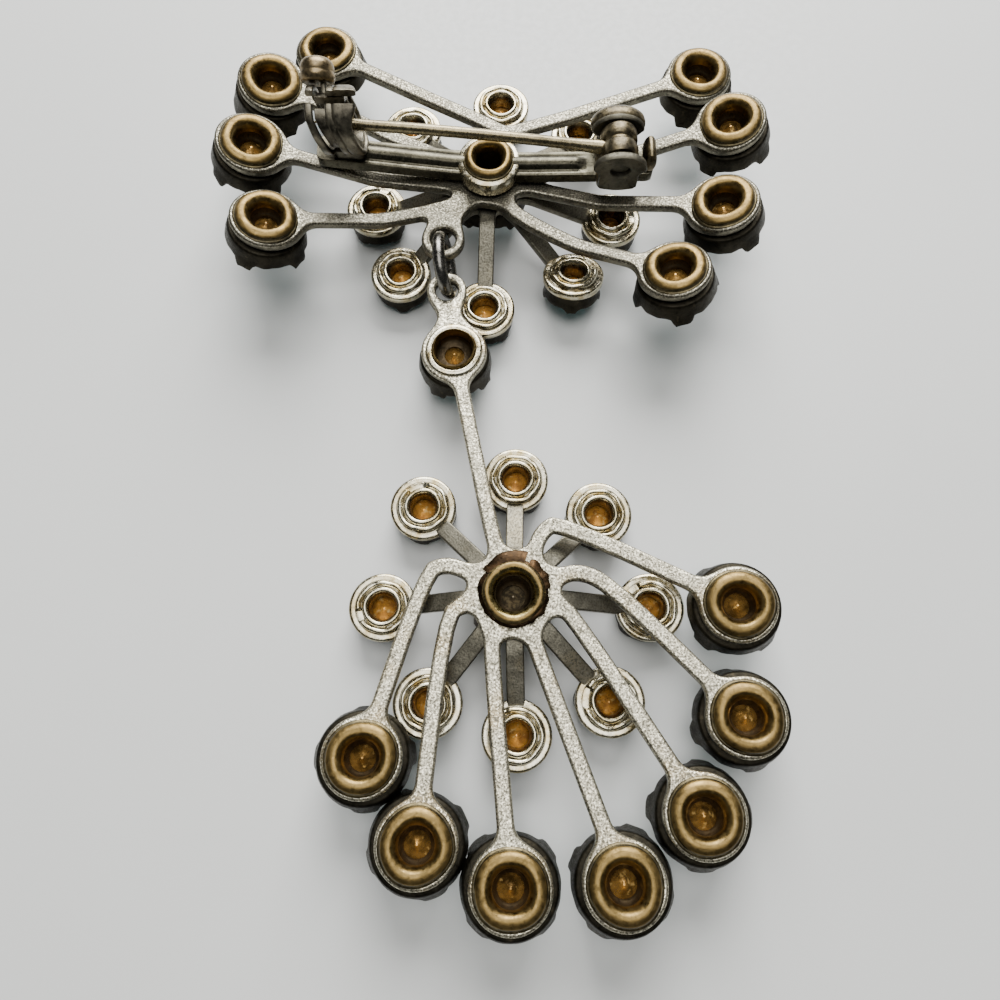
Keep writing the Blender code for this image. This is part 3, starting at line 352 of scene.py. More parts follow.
def sparkling_plate(name, dark, middle, bright, tint, relief, rough):
    """A granular plating: dark and bright grains on a middle tone, tinted in patches."""
    f = Finish(name)
    grain = f.noise(7.0, 1.5, 0.6)
    cloud = f.ramp(f.noise(0.28, 3.0, 0.6), 0.5, 0.68, 0.0, 0.75)
    ground = f.mixed(cloud, tone(middle), tone(tint))
    speckled = f.mixed(f.ramp(grain, 0.36, 0.49, 1.0, 0.0), ground, tone(dark))
    sparkling = f.mixed(f.ramp(grain, 0.53, 0.66), speckled, tone(bright))
    waves = f.noise(0.3, 2.0)
    return f.done(sparkling, f.ramp(grain, 0.42, 0.66, *rough), (waves, 0.6, 0.3), (grain, relief, 0.06))


def crinkled_foil(name, metallic, colour, deep, glint, cloud_grain, glint_grain, glint_range, rough, relief):
    """Amber foil, crinkled, with bright golden glints."""
    f = Finish(name, metallic)
    cloud = f.ramp(f.noise(cloud_grain, 3.0, 0.6), 0.38, 0.66)
    glints = f.ramp(f.noise(glint_grain, 2.0, 0.5), *glint_range)
    fine = f.noise(3.5, 3.0, 0.6)
    ground = f.mixed(cloud, tone(colour), tone(deep))
    return f.done(f.mixed(glints, ground, glint), f.ramp(fine, 0.3, 0.7, *rough), (fine, relief, 0.05))


def painted_shade_foil(name):
    """Foil at the bottom of the two centre rivets, darkened as painted shade of their deep holes."""
    f = Finish(name, 0.6)
    fine = f.noise(2.6, 3.0, 0.6)
    colour = f.mixed(f.ramp(fine, 0.42, 0.66), (0.1, 0.08, 0.05), (0.28, 0.22, 0.12))
    return f.done(colour, f.ramp(fine, 0.3, 0.7, 0.3, 0.55), (fine, 0.5, 0.05))


def cut_glass(name):
    """Cut glass with faint clouds in its colour."""
    f = Finish(name, 0.0)
    cloud = f.ramp(f.noise(0.5, 2.0), 0.35, 0.7)
    f.shader.inputs["Coat Weight"].default_value = 0.6
    f.shader.inputs["IOR"].default_value = 1.6
    colour = f.mixed(cloud, tone(("glass", 1.0)), tone(("glass", 0.45)))
    return f.done(colour, f.ramp(f.noise(3.0, 2.0), 0.3, 0.7, 0.03, 0.09))


def pale_sheet(name):
    """A smooth, faintly mottled pale sheet."""
    f = Finish(name, 0.0)
    cloud = f.ramp(f.noise(0.02, 3.0), 0.3, 0.7)
    fine = f.noise(1.4, 3.0, 0.6)
    colour = f.mixed(cloud, tone(("surface", 1.0)), tone(("surface", 0.96)))
    return f.done(colour, f.ramp(fine, 0.3, 0.7, 0.5, 0.62), (fine, 0.12, 0.03))


# Each metal's colour, tarnish and wear, roughness, grains and patches to the millimetre, sparkle and relief
METALS = {
    # The plates' side walls: the plating darkened, painted shade on the edges.
    "plate_edge": (("plated", 0.42), ("plated", 0.2), ("plated", 0.95), 0.42, 5.0, 0.9, 0.25, 0.8),
    "small_rim": (("plated", 1.15), (0.36, 0.29, 0.15), ("plated", 1.495), 0.2, 2.6, 0.7, 0.2, 0.35),
    # The small rims' hole, groove and foot: the plating darkened, painted shade in these recesses.
    "small_bore": (("plated", 0.5), (0.12, 0.09, 0.045), ("plated", 0.75), 0.3, 3.0, 0.7, 0.15, 0.3),
    "rim_brass": (("brass", 0.66), ("brass", 0.396), ("brass", 0.858), 0.38, 3.0, 0.5, 0.15, 0.2),
    "rim_crest": (("brass", 0.62), ("brass", 0.403), (0.3, 0.215, 0.085), 0.4, 3.0, 0.6, 0.15, 0.15),
    "rim_funnel": (("brass", 0.6), ("brass", 0.33), ("brass", 1.2), 0.36, 3.0, 0.6, 0.15, 0.2),
    # The rim's outer skirt: an olive tone, darkened as painted shade where the rolled rim meets the pad.
    "rim_skirt": ((0.13, 0.105, 0.055), (0.06, 0.05, 0.03), (0.3, 0.26, 0.16), 0.38, 4.0, 0.8, 0.3, 0.4),
    # Inside the rivets' holes: brass darkened, painted shade.
    "bore_brass": ((0.075, 0.055, 0.032), (0.035, 0.026, 0.016), ("brass", 0.4), 0.55, 4.0, 0.5, 0.2, 0.8),
    "hub_brass": ((0.24, 0.18, 0.08), (0.11, 0.08, 0.04), (0.42, 0.32, 0.15), 0.32, 3.0, 0.5, 0.15, 0.2),
    "hub_funnel": ((0.24, 0.185, 0.07), (0.12, 0.092, 0.038), (0.6, 0.5, 0.25), 0.28, 3.0, 0.5, 0.2, 0.2),
    "petal_brown": ((0.05, 0.029, 0.014), (0.022, 0.014, 0.008), (0.2, 0.12, 0.06), 0.36, 3.0, 0.8, 0.1, 0.3),
    "cup_patina": (("patina", 1.0), ("patina", 0.5), (0.08, 0.066, 0.04), 0.46, 4.0, 0.6, 0.2, 0.5),
    "bar_plating": (("nickel", 1.0), ("nickel", 0.5), (0.26, 0.235, 0.165), 0.34, 5.0, 0.4, 0.2, 0.3),
    "hinge_brass": ((0.16, 0.13, 0.075), (0.06, 0.05, 0.034), (0.36, 0.28, 0.14), 0.34, 3.0, 0.6, 0.15, 0.2),
    "ear_metal": ((0.13, 0.12, 0.09), (0.065, 0.06, 0.045), (0.26, 0.23, 0.15), 0.46, 4.0, 0.6, 0.2, 0.3),
    "case_metal": ((0.15, 0.135, 0.1), (0.06, 0.053, 0.04), (0.34, 0.31, 0.23), 0.36, 3.0, 0.6, 0.2, 0.25),
    "stem_metal": (("stem", 1.0), ("stem", 0.5), (0.45, 0.36, 0.2), 0.28, 5.0, 0.35, 0.15, 0.2),
    "lever_brass": (
        (0.22, 0.165, 0.09), (0.12, 0.088, 0.048), (0.34, 0.27, 0.16), 0.36, 3.0, 0.5, 0.12, 0.15
    ),
    "ring_metal": (("ring", 1.0), ("ring", 0.5), (0.4, 0.38, 0.32), 0.24, 4.0, 0.5, 0.15, 0.2),
}
# Each plating's dark, middle and bright tones, tint, relief, and roughness between and on the grains
PLATINGS = {
    # One plating, painted darker on the brooch's spray (painted shade) and brighter, and warm, on the drop's
    # spray (painted light).
    "grey_plating": (
        ("plated", 0.17), ("plated", 0.34), ("plated", 0.748), (0.16, 0.14, 0.1), 0.5, (0.5, 0.3)
    ),
    "warm_plating": (
        ("plated", 0.28), ("plated", 0.85), ("plated", 1.75), (0.34, 0.26, 0.14), 0.7, (0.5, 0.3)
    ),
    # The stars' plating is darkened: painted shade under the sprays.
    "star_plating": (
        ("plated", 0.156), ("plated", 0.24), ("plated", 0.312), (0.15, 0.13, 0.085), 0.25, (0.45, 0.36)
    ),
}
# How metallic each foil is, its colour, hollows and glints, grains of clouds and glints, ranges and relief
FOILS = {
    "foil_back": (
        0.75, ("foil", 1.0), ("foil", 0.3), (0.95, 0.62, 0.2), 0.9, 2.0,
        (0.6, 0.72), (0.18, 0.42), 0.6,
    ),
    "star_foil": (
        0.5, (0.8, 0.38, 0.065), (0.42, 0.18, 0.04), (0.95, 0.62, 0.22), 1.3, 2.4,
        (0.58, 0.7), (0.25, 0.45), 0.4,
    ),
}
MAKERS = {"deep_foil": (painted_shade_foil,), "front_glass": (cut_glass,), "pale_surface": (pale_sheet,)}
for table, maker in ((METALS, worn_metal), (PLATINGS, sparkling_plate), (FOILS, crinkled_foil)):
    MAKERS.update({name: (maker, *values) for name, values in table.items()})
MADE = {}


def material(name):
    """The material of this name, made when it is first asked for."""
    if name not in MADE:
        make, *values = MAKERS[name]
        MADE[name] = make(name, *values)
    return MADE[name]


# Placing pieces
def moved(spot, height=0.0):
    """Moves a form from the origin to a plan point and a height."""
    return Matrix.Translation((spot[0], spot[1], height))


def piece(name, form, metals, place=None, body="brooch", stands_for=()):
    """Adds a form in millimetres as a piece with its materials, and lets it ride on a body."""
    verts, faces, *slots = form
    mesh = bpy.data.meshes.new(name)
    mesh.from_pydata([tuple(v) for v in np.asarray(verts, dtype=float)], [], [tuple(f) for f in faces])
    if place is not None:
        mesh.transform(place)
    mesh.transform(Matrix.Scale(MM, 4))
    for metal in metals:
        mesh.materials.append(material(metal))
    if slots:
        mesh.polygons.foreach_set("material_index", slots[0])
    bm = bmesh.new()
    bm.from_mesh(mesh)
    bmesh.ops.recalc_face_normals(bm, faces=bm.faces)
    bm.to_mesh(mesh)
    bm.free()
    mesh.shade_smooth()
    obj = bpy.data.objects.new(name, mesh)
    bpy.context.scene.collection.objects.link(obj)
    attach(obj, body)
    if stands_for:
        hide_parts(*stands_for)
    return obj


class Heap:
    """Points and faces of several closed forms, gathered into one piece."""

    def __init__(self):
        self.verts, self.faces, self.slots = [], [], []

    def add(self, form, slot=0, place=None):
        """Adds a form, all in one slot unless it has slots of its own."""
        verts, faces, *slots = form
        verts = np.asarray(verts, dtype=float)
        if place is not None:
            m = np.array(place)
            verts = verts @ m[:3, :3].T + m[:3, 3]
        start = len(self.verts)
        self.verts.extend(verts.tolist())
        self.faces.extend(tuple(i + start for i in f) for f in faces)
        self.slots.extend(slots[0] if slots else [slot] * len(faces))

    def place(self, name, metals, sharp, **where):
        """Makes the piece, with edges sharp from this angle in degrees."""
        obj = piece(name, (self.verts, self.faces, self.slots), metals, **where)
        obj.data.set_sharp_from_angle(angle=math.radians(sharp))


# Flat plates with filleted outlines
def rounded_path(knots, reach):
    """A path through knots as (share of reach, bearing), with its corners cut round."""
    points = [polar(share * reach, bearing) for share, bearing in knots]
    for _ in range(2 if len(points) > 2 else 0):
        cut = [points[0]]
        for a, b in zip(points, points[1:]):
            cut += [a * 0.75 + b * 0.25, a * 0.25 + b * 0.75]
        points = cut + [points[-1]]
    return points


def path_distance(path, points):
    """How far plan points are from a path."""
    best = np.full(len(points), 1e9)
    for a, b in zip(path, path[1:]):
        along = b - a
        t = np.clip(((points - a) @ along) / (along @ along), 0.0, 1.0)
        best = np.minimum(best, np.linalg.norm(points - (a + t[:, None] * along), axis=1))
    return best


class Outline:
    """A flat shape of bars and discs that run together with fillets, less round holes."""

    def __init__(self, fillet):
        self.fillet = fillet
        self.forms = []
        self.holes = []

    def disc(self, centre, radius):
        self.forms.append(lambda p: np.linalg.norm(p - np.array(centre), axis=1) - radius)

    def bar(self, path, half):
        self.forms.append(lambda p: path_distance(path, p) - half)

    def field(self, points):
        """How far plan points are outside the shape; less than zero inside."""
        total = self.forms[0](points)
        for form in self.forms[1:]:
            other = form(points)
            near = np.maximum(self.fillet - np.abs(total - other), 0.0) / self.fillet
            total = np.minimum(total, other) - near * near * self.fillet * 0.25
        for centre, radius in self.holes:
            total = np.maximum(total, radius - np.linalg.norm(points - np.array(centre), axis=1))
        return total

    def normal(self, points):
        """The way out of the shape at plan points."""
        steps = ((0.01, 0.0), (0.0, 0.01))
        grad = np.stack([self.field(points + s) - self.field(points - np.array(s)) for s in steps], axis=1)
        return grad / np.maximum(np.linalg.norm(grad, axis=1), 1e-9)[:, None]


# For each set of a cell's corners inside a shape, the edges where its outline comes in and goes out
CELL_STEPS = {
    1: ((0, 3),), 2: ((1, 0),), 3: ((1, 3),), 4: ((2, 1),), 5: ((0, 3), (2, 1)), 6: ((2, 0),),
    7: ((2, 3),), 8: ((3, 2),), 9: ((0, 2),), 10: ((1, 0), (3, 2)), 11: ((1, 2),), 12: ((3, 1),),
    13: ((0, 1),), 14: ((3, 0),),
}


def contours(outline, low, high, cell):
    """Closed loops around a shape, each a row of points with the shape on its left."""
    xs = np.arange(low[0], high[0] + cell, cell)
    ys = np.arange(low[1], high[1] + cell, cell)
    grid = np.stack(np.meshgrid(xs, ys, indexing="ij"), axis=-1).reshape(-1, 2)
    values = outline.field(grid).reshape(len(xs), len(ys))
    inside = values < 0
    code = inside[:-1, :-1] * 1 + inside[1:, :-1] * 2 + inside[1:, 1:] * 4 + inside[:-1, 1:] * 8

    def crossing(edge):
        (i, j), (k, m) = edge
        t = values[i, j] / (values[i, j] - values[k, m])
        return np.array([xs[i] + (xs[k] - xs[i]) * t, ys[j] + (ys[m] - ys[j]) * t])

    following = {}
    for i, j in np.argwhere((code > 0) & (code < 15)):
        a, b, c, d = (i, j), (i + 1, j), (i + 1, j + 1), (i, j + 1)
        edges = ((a, b), (b, c), (d, c), (a, d))
        for start, end in CELL_STEPS[int(code[i, j])]:
            following[edges[start]] = edges[end]
    loops = []
    while following:
        first, here = following.popitem()
        chain = [first, here]
        while here in following:
            here = following.pop(here)
            chain.append(here)
        loops.append(np.array([crossing(e) for e in chain[:-1]]))
    return loops


def evened(loop, spacing, outline):
    """The loop with even spacing, drawn back onto the outline."""
    closed = np.vstack([loop, loop[:1]])
    lengths = np.concatenate([[0.0], np.cumsum(np.linalg.norm(np.diff(closed, axis=0), axis=1))])
    at = np.linspace(0.0, lengths[-1], max(12, int(lengths[-1] / spacing)), endpoint=False)
    points = np.stack([np.interp(at, lengths, closed[:, k]) for k in range(2)], axis=1)
    for _ in range(2):
        points = points - outline.field(points)[:, None] * outline.normal(points)
    return points


def plate_form(outline, ends, margin, top, thickness, edge, spacing=0.16, core_spacing=0.65):
    """A plate with rounded edges. It lies within a margin of its ends; top gives its upper height."""
    low, high = np.min(ends, axis=0) - margin, np.max(ends, axis=0) + margin
    loops = [evened(loop, spacing, outline) for loop in contours(outline, low, high, spacing)]
    rim = np.vstack(loops)
    normal = outline.normal(rim)
    bends = [(edge * (1 - math.sin(a)), edge * (1 - math.cos(a))) for a in (0.0, math.pi / 4, math.pi / 2)]
    inset = edge + 0.08
    inner = rim - normal * inset
    rings = [(inner, 0.0)] + [(rim - normal * back, -down) for back, down in bends]
    rings += [(rim - normal * back, down - thickness) for back, down in bends[::-1]] + [(inner, -thickness)]
    xs, ys = np.meshgrid(np.arange(low[0], high[0], core_spacing), np.arange(low[1], high[1], core_spacing))
    core = np.stack([xs.ravel(), ys.ravel()], axis=1)
    core = core[outline.field(core) < -inset - 0.15]
    edges, start = [], 0
    for loop in loops:
        n = len(loop)
        edges += [(start + i, start + (i + 1) % n) for i in range(n)]
        start += n
    made = delaunay_2d_cdt([Vector(p) for p in np.vstack([inner, core])], edges, [], 1, 1e-7)
    spots = np.array([tuple(v) for v in made[0]])
    source = [o[0] if o else -1 for o in made[3]]
    triangles = np.array(made[2])
    keep = outline.field(spots[triangles].mean(axis=1)) < -edge

    heights, core_top = top(rim), np.column_stack([core, top(core)])
    verts = [np.column_stack([ring, heights + drop]) for ring, drop in rings]
    verts += [core_top, core_top - (0.0, 0.0, thickness)]
    count, last = len(rim), len(rings) - 1
    upper = [s if s < count else s + last * count for s in source]
    lower = [s + last * count if s < count else s + last * count + len(core) for s in source]
    faces = []
    for a, b, c in triangles[keep]:
        if min(source[a], source[b], source[c]) < 0:
            continue
        u, v = spots[b] - spots[a], spots[c] - spots[a]
        if u[0] * v[1] - u[1] * v[0] < 0:
            b, c = c, b
        faces += [(upper[a], upper[b], upper[c]), (lower[a], lower[c], lower[b])]
    slots = [0] * len(faces)
    # Rings on the side walls take slot 1, the darkened plating painted as shade on the edges.
    for i, j in edges:
        for k in range(last):
            a, b = k * count, (k + 1) * count
            faces.append((a + i, b + i, b + j, a + j))
            slots.append(1 if 2 < k < 6 else 0)
    return np.vstack(verts), faces, slots


def soft_step(value, width=0.9):
    """Nothing below zero and the value above it, with a rounded corner."""
    middle = (value + width) ** 2 / (4 * width)
    return np.where(value < -width, 0.0, np.where(value > width, value, middle))


class Unit:
    """The brooch or its drop: a spray of long arms over a star of short ones."""

    def __init__(self, name, hub, shift, arms, bends, tops, hub_disc, hole, loop, star):
        self.name, self.hub, self.shift = name, hub, shift
        self.reach, self.bend, rise = bends
        self.star_top, self.top = tops
        self.hub_disc, self.hole, self.loop, self.star = hub_disc, hole, loop, star
        self.loop_path = rounded_path(loop[0], self.reach)
        self.arms = []
        for arm, bearing, share, rises, knots in arms:
            path = rounded_path(knots + ((share, bearing),), self.reach)
            slope = rises * rise / (self.reach - self.bend)
            self.arms.append((arm, bearing, path, slope, share * self.reach))

    def height(self, points):
        """The spray's top at these plan points."""
        best = np.full(len(points), 1e9)
        rise = np.zeros(len(points))
        for _, bearing, path, slope, _ in self.arms:
            near = path_distance(path, points)
            lift = slope * soft_step(points @ polar(1.0, bearing) - self.bend)
            rise = np.where(near < best, lift, rise)
            best = np.minimum(best, near)
        return self.top + rise

    def star_height(self, points):
        """The star's top at these plan points."""
        best = np.full(len(points), -1e9)
        drop = np.zeros(len(points))
        for bearing, share, lean in self.star:
            along = points @ polar(1.0, bearing)
            lift = 0.2 * math.sin(math.radians(lean))
            run = share * STAR_REACH - STAR_ARM_SHORT - STAR_BEND
            slope = (self.star_top - STAR_PAD_TOP - lift + 0.07) / run
            drop = np.where(along > best, slope * soft_step(along - STAR_BEND, 0.5), drop)
            best = np.maximum(best, along)
        return self.star_top - drop

    def large_seats(self):
        """Each long arm's name and where its setting stands; the stem's setting is smaller."""
        for name, bearing, path, slope, length in self.arms:
            spot = moved(path[-1], self.top + slope * (length - self.bend))
            turn = Matrix.Rotation(math.radians(bearing), 4, "Z")
            tilt = Matrix.Rotation(-math.atan(slope), 4, "Y")
            share = STEM_SETTING_SHARE if name == "stem" else 1.0
            yield name, moved(self.hub) @ (spot @ turn @ tilt) @ Matrix.Diagonal((share, share, 1.0, 1.0))

    def small_seats(self):
        """Each short arm's number and where its setting stands."""
        for i, (bearing, share, lean) in enumerate(self.star):
            lift = 2.5 * math.sin(math.radians(lean))
            spot = moved(polar(share * STAR_REACH, bearing), STAR_PAD_TOP + lift)
            tilt = Matrix.Rotation(-math.radians(lean), 4, "X")
            yield i + 1, moved(self.hub) @ (spot @ tilt @ Matrix.Rotation(math.radians(bearing), 4, "Z"))


BROOCH = Unit(
    "brooch", BROOCH_HUB, STACK_SHIFT, BROOCH_ARMS, (BROOCH_REACH, BROOCH_BEND, BROOCH_RISE),
    (BROOCH_STAR_TOP, BROOCH_SPRAY_TOP), BROOCH_HUB_DISC, BROOCH_RIVET_HOLE, BROOCH_LOOP, BROOCH_STAR,
)
DROP = Unit(
    "drop", DROP_HUB, np.zeros(2), DROP_ARMS, (DROP_REACH, DROP_BEND, DROP_RISE),
    (DROP_STAR_TOP, DROP_SPRAY_TOP), DROP_HUB_DISC, DROP_RIVET_HOLE, DROP_LOOP, DROP_STAR,
)


# Turned, lofted and drawn forms
def turned_form(profile, steps, shape=None):
    """A closed profile of (radius, height), or of (radius, height, slot), turned about Z."""
    verts, faces = [], []
    n = len(profile)
    for k in range(steps):
        a = 2 * math.pi * k / steps
        m = (k + 1) % steps
        for i, (r, z, *_) in enumerate(profile):
            if shape is not None:
                r, z = shape(a, r, z)
            verts.append((r * math.cos(a), r * math.sin(a), z))
            j = (i + 1) % n
            faces.append((k * n + i, k * n + j, m * n + j, m * n + i))
    if len(profile[0]) < 3:
        return verts, faces
    return verts, faces, [p[2] for p in profile] * steps


def slotted(slot, *points):
    """Profile points that share a slot."""
    return [(r, z, slot) for r, z in points]


def arc(centre, radii, start, end, slots):
    """Profile points on an arc from start to end in degrees, one for each slot number."""
    turns = np.radians(np.linspace(start, end, len(slots)))
    (r, z), (wide, high) = centre, radii
    return [(r + wide * math.cos(a), z + high * math.sin(a), slot) for a, slot in zip(turns, slots)]


def loft_form(rows, closed=False):
    """A form through matching closed cross-sections."""
    n, count = len(rows[0]), len(rows)
    verts = [p for row in rows for p in row]
    faces = []
    for k in range(count if closed else count - 1):
        m = (k + 1) % count
        for i in range(n):
            j = (i + 1) % n
            faces.append((k * n + i, m * n + i, m * n + j, k * n + j))
    if not closed:
        faces += [tuple(range(n)), tuple((count - 1) * n + i for i in reversed(range(n)))]
    return verts, faces


def soft_section(half_width, half_depth, powers, steps=20):
    """Points around a soft-cornered rectangle, as (across, through)."""
    made = []
    for i in range(steps):
        a = 2 * math.pi * (i + 0.5) / steps
        c, s = math.cos(a), math.sin(a)
        across_, through = (math.copysign(abs(v) ** power, v) for v, power in zip((c, s), powers))
        made.append((across_ * half_width, through * half_depth))
    return made


def wire_form(points, radii, closed=False, sides=20):
    """A round wire along points, its frame carried along without twist."""
    points = [Vector(p) for p in points]
    count = len(points)
    rows, side = [], None
    for i, here in enumerate(points):
        before = points[(i - 1) % count] if closed or i else here
        after = points[(i + 1) % count] if closed or i < count - 1 else here
        way = (after - before).normalized()
        if side is None:
            side = way.orthogonal().normalized()
        side = (side - way * side.dot(way)).normalized()
        up = way.cross(side)
        row = []
        for k in range(sides):
            a = 2 * math.pi * k / sides
            row.append(tuple(here + side * (radii[i] * math.cos(a)) + up * (radii[i] * math.sin(a))))
        rows.append(row)
    verts, faces = loft_form(rows, closed)
    return verts, [tuple(reversed(f)) for f in faces]


def block_form(size, centre, edge=0.1):
    """A box with rounded upright edges and a soft rim."""
    w, d, h = (v / 2 for v in size)
    x, y, z = centre
    rows = []
    for shrink, up in ((edge, -h), (0.0, -h + edge), (0.0, h - edge), (edge, h)):
        section = soft_section(w - shrink, d - shrink, (0.3, 0.3))
        rows.append([(x + across_, y + through, z + up) for across_, through in section])
    return loft_form(rows)


# Settings
RIM, BORE, CUP, FUNNEL, CREST, SKIRT = range(6)
# The bore slot holds brass darkened as painted shade inside the holes.
LARGE_METALS = ("rim_brass", "bore_brass", "cup_patina", "rim_funnel", "rim_crest", "rim_skirt")
STEM_METALS = ("small_rim", "bore_brass", "cup_patina", "rim_funnel", "rim_crest", "small_rim")
HUB_METALS = ("hub_brass", "bore_brass", "petal_brown", "hub_funnel", "rim_crest", "petal_brown")
LARGE_SEED, SMALL_SEED, BROOCH_CENTRE_SEED, DROP_CENTRE_SEED = 10, 50, 91, 92


def uneven(seed, amount, above):
    """A shaping that puts the points above a height a little out of round."""
    rng = np.random.default_rng(seed)
    phases = rng.uniform(0, 2 * math.pi, 6)
    swings = rng.uniform(0.3, 1.0, 6) * amount

    def shape(a, r, z):
        if z < above:
            return r, z
        swing = sum(swings[n] * math.sin((n + 2) * a + phases[n]) for n in range(3))
        lift = sum(swings[n] * math.sin((n - 2) * a + phases[n]) for n in range(3, 6))
        return r + swing, z + lift * 0.7

    return shape


def lobed(shape, lip, outer, drop, fold, flare, ragged, seed):
    """Adds four tabs to a cup's lip, which stand out a little and fold in over the stone."""
    phase = np.random.default_rng(seed).uniform(0, 2 * math.pi, 3)

    def lobes(a, r, z):
        r0 = r
        r, z = shape(a, r, z)
        depth = min(1.0, max(0.0, (lip + 0.6 - z) / 0.6))
        if depth <= 0.0 or z > -0.5:
            return r, z
        wave = math.cos(4 * (a - math.radians(45)) + 0.35 * math.sin(a + phase[0]))
        tab = min(1.0, max(0.0, (wave - 0.42) / 0.3))
        rough = ragged * (math.sin(9 * a + phase[1]) + 0.7 * math.sin(17 * a + phase[2]))
        out = min(1.0, max(0.0, (r0 - outer + 0.15) / 0.1))
        r += depth * (tab * (flare * out - fold * (1.0 - out)) + 0.3 * rough * out)
        return r, z - (drop * tab + rough * (0.5 + tab)) * depth

    return lobes


def large_setting(
    name, place, node, seed, hole, rim,
    crest=0.42, base=-1.0, swell=1.0, flat=False, metals=LARGE_METALS, extra=None,
):
    """A rolled hollow rivet over a pad, with the cup below it and its four folded tabs."""
    cup = sizes().cup / MM * swell
    top, low = (0.48 if flat else 0.55), -0.35
    ridge = hole + (rim - hole) * crest
    wall = hole + 0.38
    lip = base - 1.3
    profile = slotted(BORE, (0.9, base - 0.35), (0.93, base + 0.02))
    profile += slotted(BORE, (hole - 0.2, base + 0.1), (hole - 0.04, base + 0.3))
    profile += arc((ridge, low), (ridge - hole, top - low), 180, 90, [FUNNEL] * 7 + [CREST] * 2)
    if flat:
        profile += [(ridge + 0.06, top - 0.05, CREST), (ridge + 0.1, 0.14, CUP)]
        profile += slotted(RIM, (ridge + 0.17, 0.2), (ridge + 0.24, 0.22))
        profile += slotted(RIM, (rim - 0.2, 0.22), (rim - 0.08, 0.17)) + [(rim, 0.05, SKIRT)]
    else:
        slots = [CREST] + [RIM] * 4 + [SKIRT] * 4
        profile += arc((ridge, 0.12), (rim - 0.16 - ridge, top - 0.12), 80, 0, slots)
        profile += slotted(SKIRT, (rim - 0.06, 0.1), (rim, 0.03))
    profile += slotted(CUP, (rim - 0.05, -0.01), (wall, -0.02), (wall, base))
    profile += slotted(CUP, (cup - 0.4, base + 0.02), (cup - 0.27, base - 0.05), (cup - 0.2, base - 0.2))
    profile += slotted(CUP, (cup - 0.12, base - 0.6), (cup - 0.06, lip + 0.45), (cup - 0.02, lip + 0.25))
    profile += slotted(CUP, (cup, lip + 0.12), (cup, lip), (cup - 0.12, lip - 0.08))
    profile += slotted(CUP, (cup - 0.25, lip - 0.03), (cup - 0.31, lip + 0.15), (cup - 0.35, lip + 0.4))
    heap = Heap()
    shape = lobed(uneven(seed, 0.03, 0.03), lip, cup, 0.5, 0.3, 0.22, 0.06, seed)
    heap.add(turned_form(profile, 96, shape))
    if extra is not None:
        extra(heap)
    heap.place(name, metals, 60, place=place, stands_for=(node,))


def petals(heap):
    """Adds the ragged petals under the drop's rivet rim."""
    count = 13
    for n, (start, first, end, last) in enumerate(PETALS):
        rows = []
        for i in range(count):
            t = i / (count - 1)
            bite = 0.12 * abs(math.sin(t * math.pi * 2 + n)) + 0.04 * math.sin(t * 17 + n)
            out = first + (last - first) * t - bite - (0.1 if i in (0, count - 1) else 0.0)
            lift = 0.2 + 0.08 * math.sin(t * 5 + n * 2)
            section = [(1.7, 0.36), (2.15, 0.36), (out - 0.12, lift + 0.12), (out, lift)]
            section += [(out - 0.06, lift - 0.14), (2.3, 0.03), (1.7, 0.03)]
            rows.append([(*polar(r, start + (end - start) * t), z) for r, z in section])
        heap.add(loft_form(rows), CUP)


def split_rim(seed, inner, outer, gap_at, gap_half):
    """Flattens the raised collar of a small rim over part of its turn, and roughens the rest."""
    base = uneven(seed, 0.02, 0.04)
    phase = np.random.default_rng(seed + 500).uniform(0, 2 * math.pi, 2)

    def shape(a, r, z):
        r0 = r
        r, z = base(a, r, z)
        if inner < r0 < outer and z > 0.03:
            away = abs((math.degrees(a) - gap_at + 180.0) % 360.0 - 180.0)
            keep = min(1.0, max(0.06, (away - gap_half) / 4.0 + 0.5))
            z = z * keep + 0.03 * math.sin(9 * a + phase[0]) * keep
            r += 0.03 * math.sin(6 * a + phase[1])
        return r, z

    return shape


def small_setting(name, place, node, seed):
    """A star's small setting: round pad, double rolled rim, and the cup below."""
    hole, pad, cup, lip = 0.96, 2.6, 2.5, -1.9
    rim = sizes().small_rim / MM
    groove = hole + (rim - hole) * 0.55
    profile = slotted(BORE, (hole - 0.02, -1.1), (hole, -0.4), (hole + 0.02, 0.06), (hole + 0.1, 0.22))
    profile += arc((hole + 0.36, 0.2), (0.24, 0.3), 160, 20, [RIM] * 7)
    profile += slotted(BORE, (groove, 0.24), (groove + 0.06, 0.22))
    profile += arc(((groove + rim) / 2 + 0.04, 0.16), ((rim - groove) / 2 - 0.02, 0.24), 160, 10, [RIM] * 7)
    profile += slotted(BORE, (rim, 0.05), (rim + 0.04, 0.0))
    profile += slotted(RIM, (rim + 0.1, 0.0), (pad - 0.25, 0.03), (pad - 0.08, 0.01), (pad, -0.07))
    profile += slotted(CUP, (pad, -0.6), (pad - 0.06, -0.69), (pad - 0.25, -0.72), (pad - 0.28, -0.9))
    profile += slotted(CUP, (cup - 0.1, lip + 0.4), (cup - 0.03, lip + 0.08), (cup - 0.06, lip - 0.02))
    profile += slotted(CUP, (cup - 0.2, lip - 0.04), (cup - 0.3, lip + 0.1), (cup - 0.34, lip + 0.4))
    gap_at = np.random.default_rng(seed).uniform(0, 360)
    shape = split_rim(seed, groove, rim + 0.03, gap_at, (0.0, 14.0, 24.0, 0.0)[seed % 4])
    heap = Heap()
    heap.add(turned_form(profile, 64, lobed(shape, lip, cup - 0.03, 0.28, 0.2, 0.08, 0.03, seed)))
    # The hole's wall, the groove between the rims and the rim's foot take the darkened plating: painted
    # shade.
    heap.place(name, ("small_rim", "small_bore", "cup_patina"), 50, place=place, stands_for=(node,))


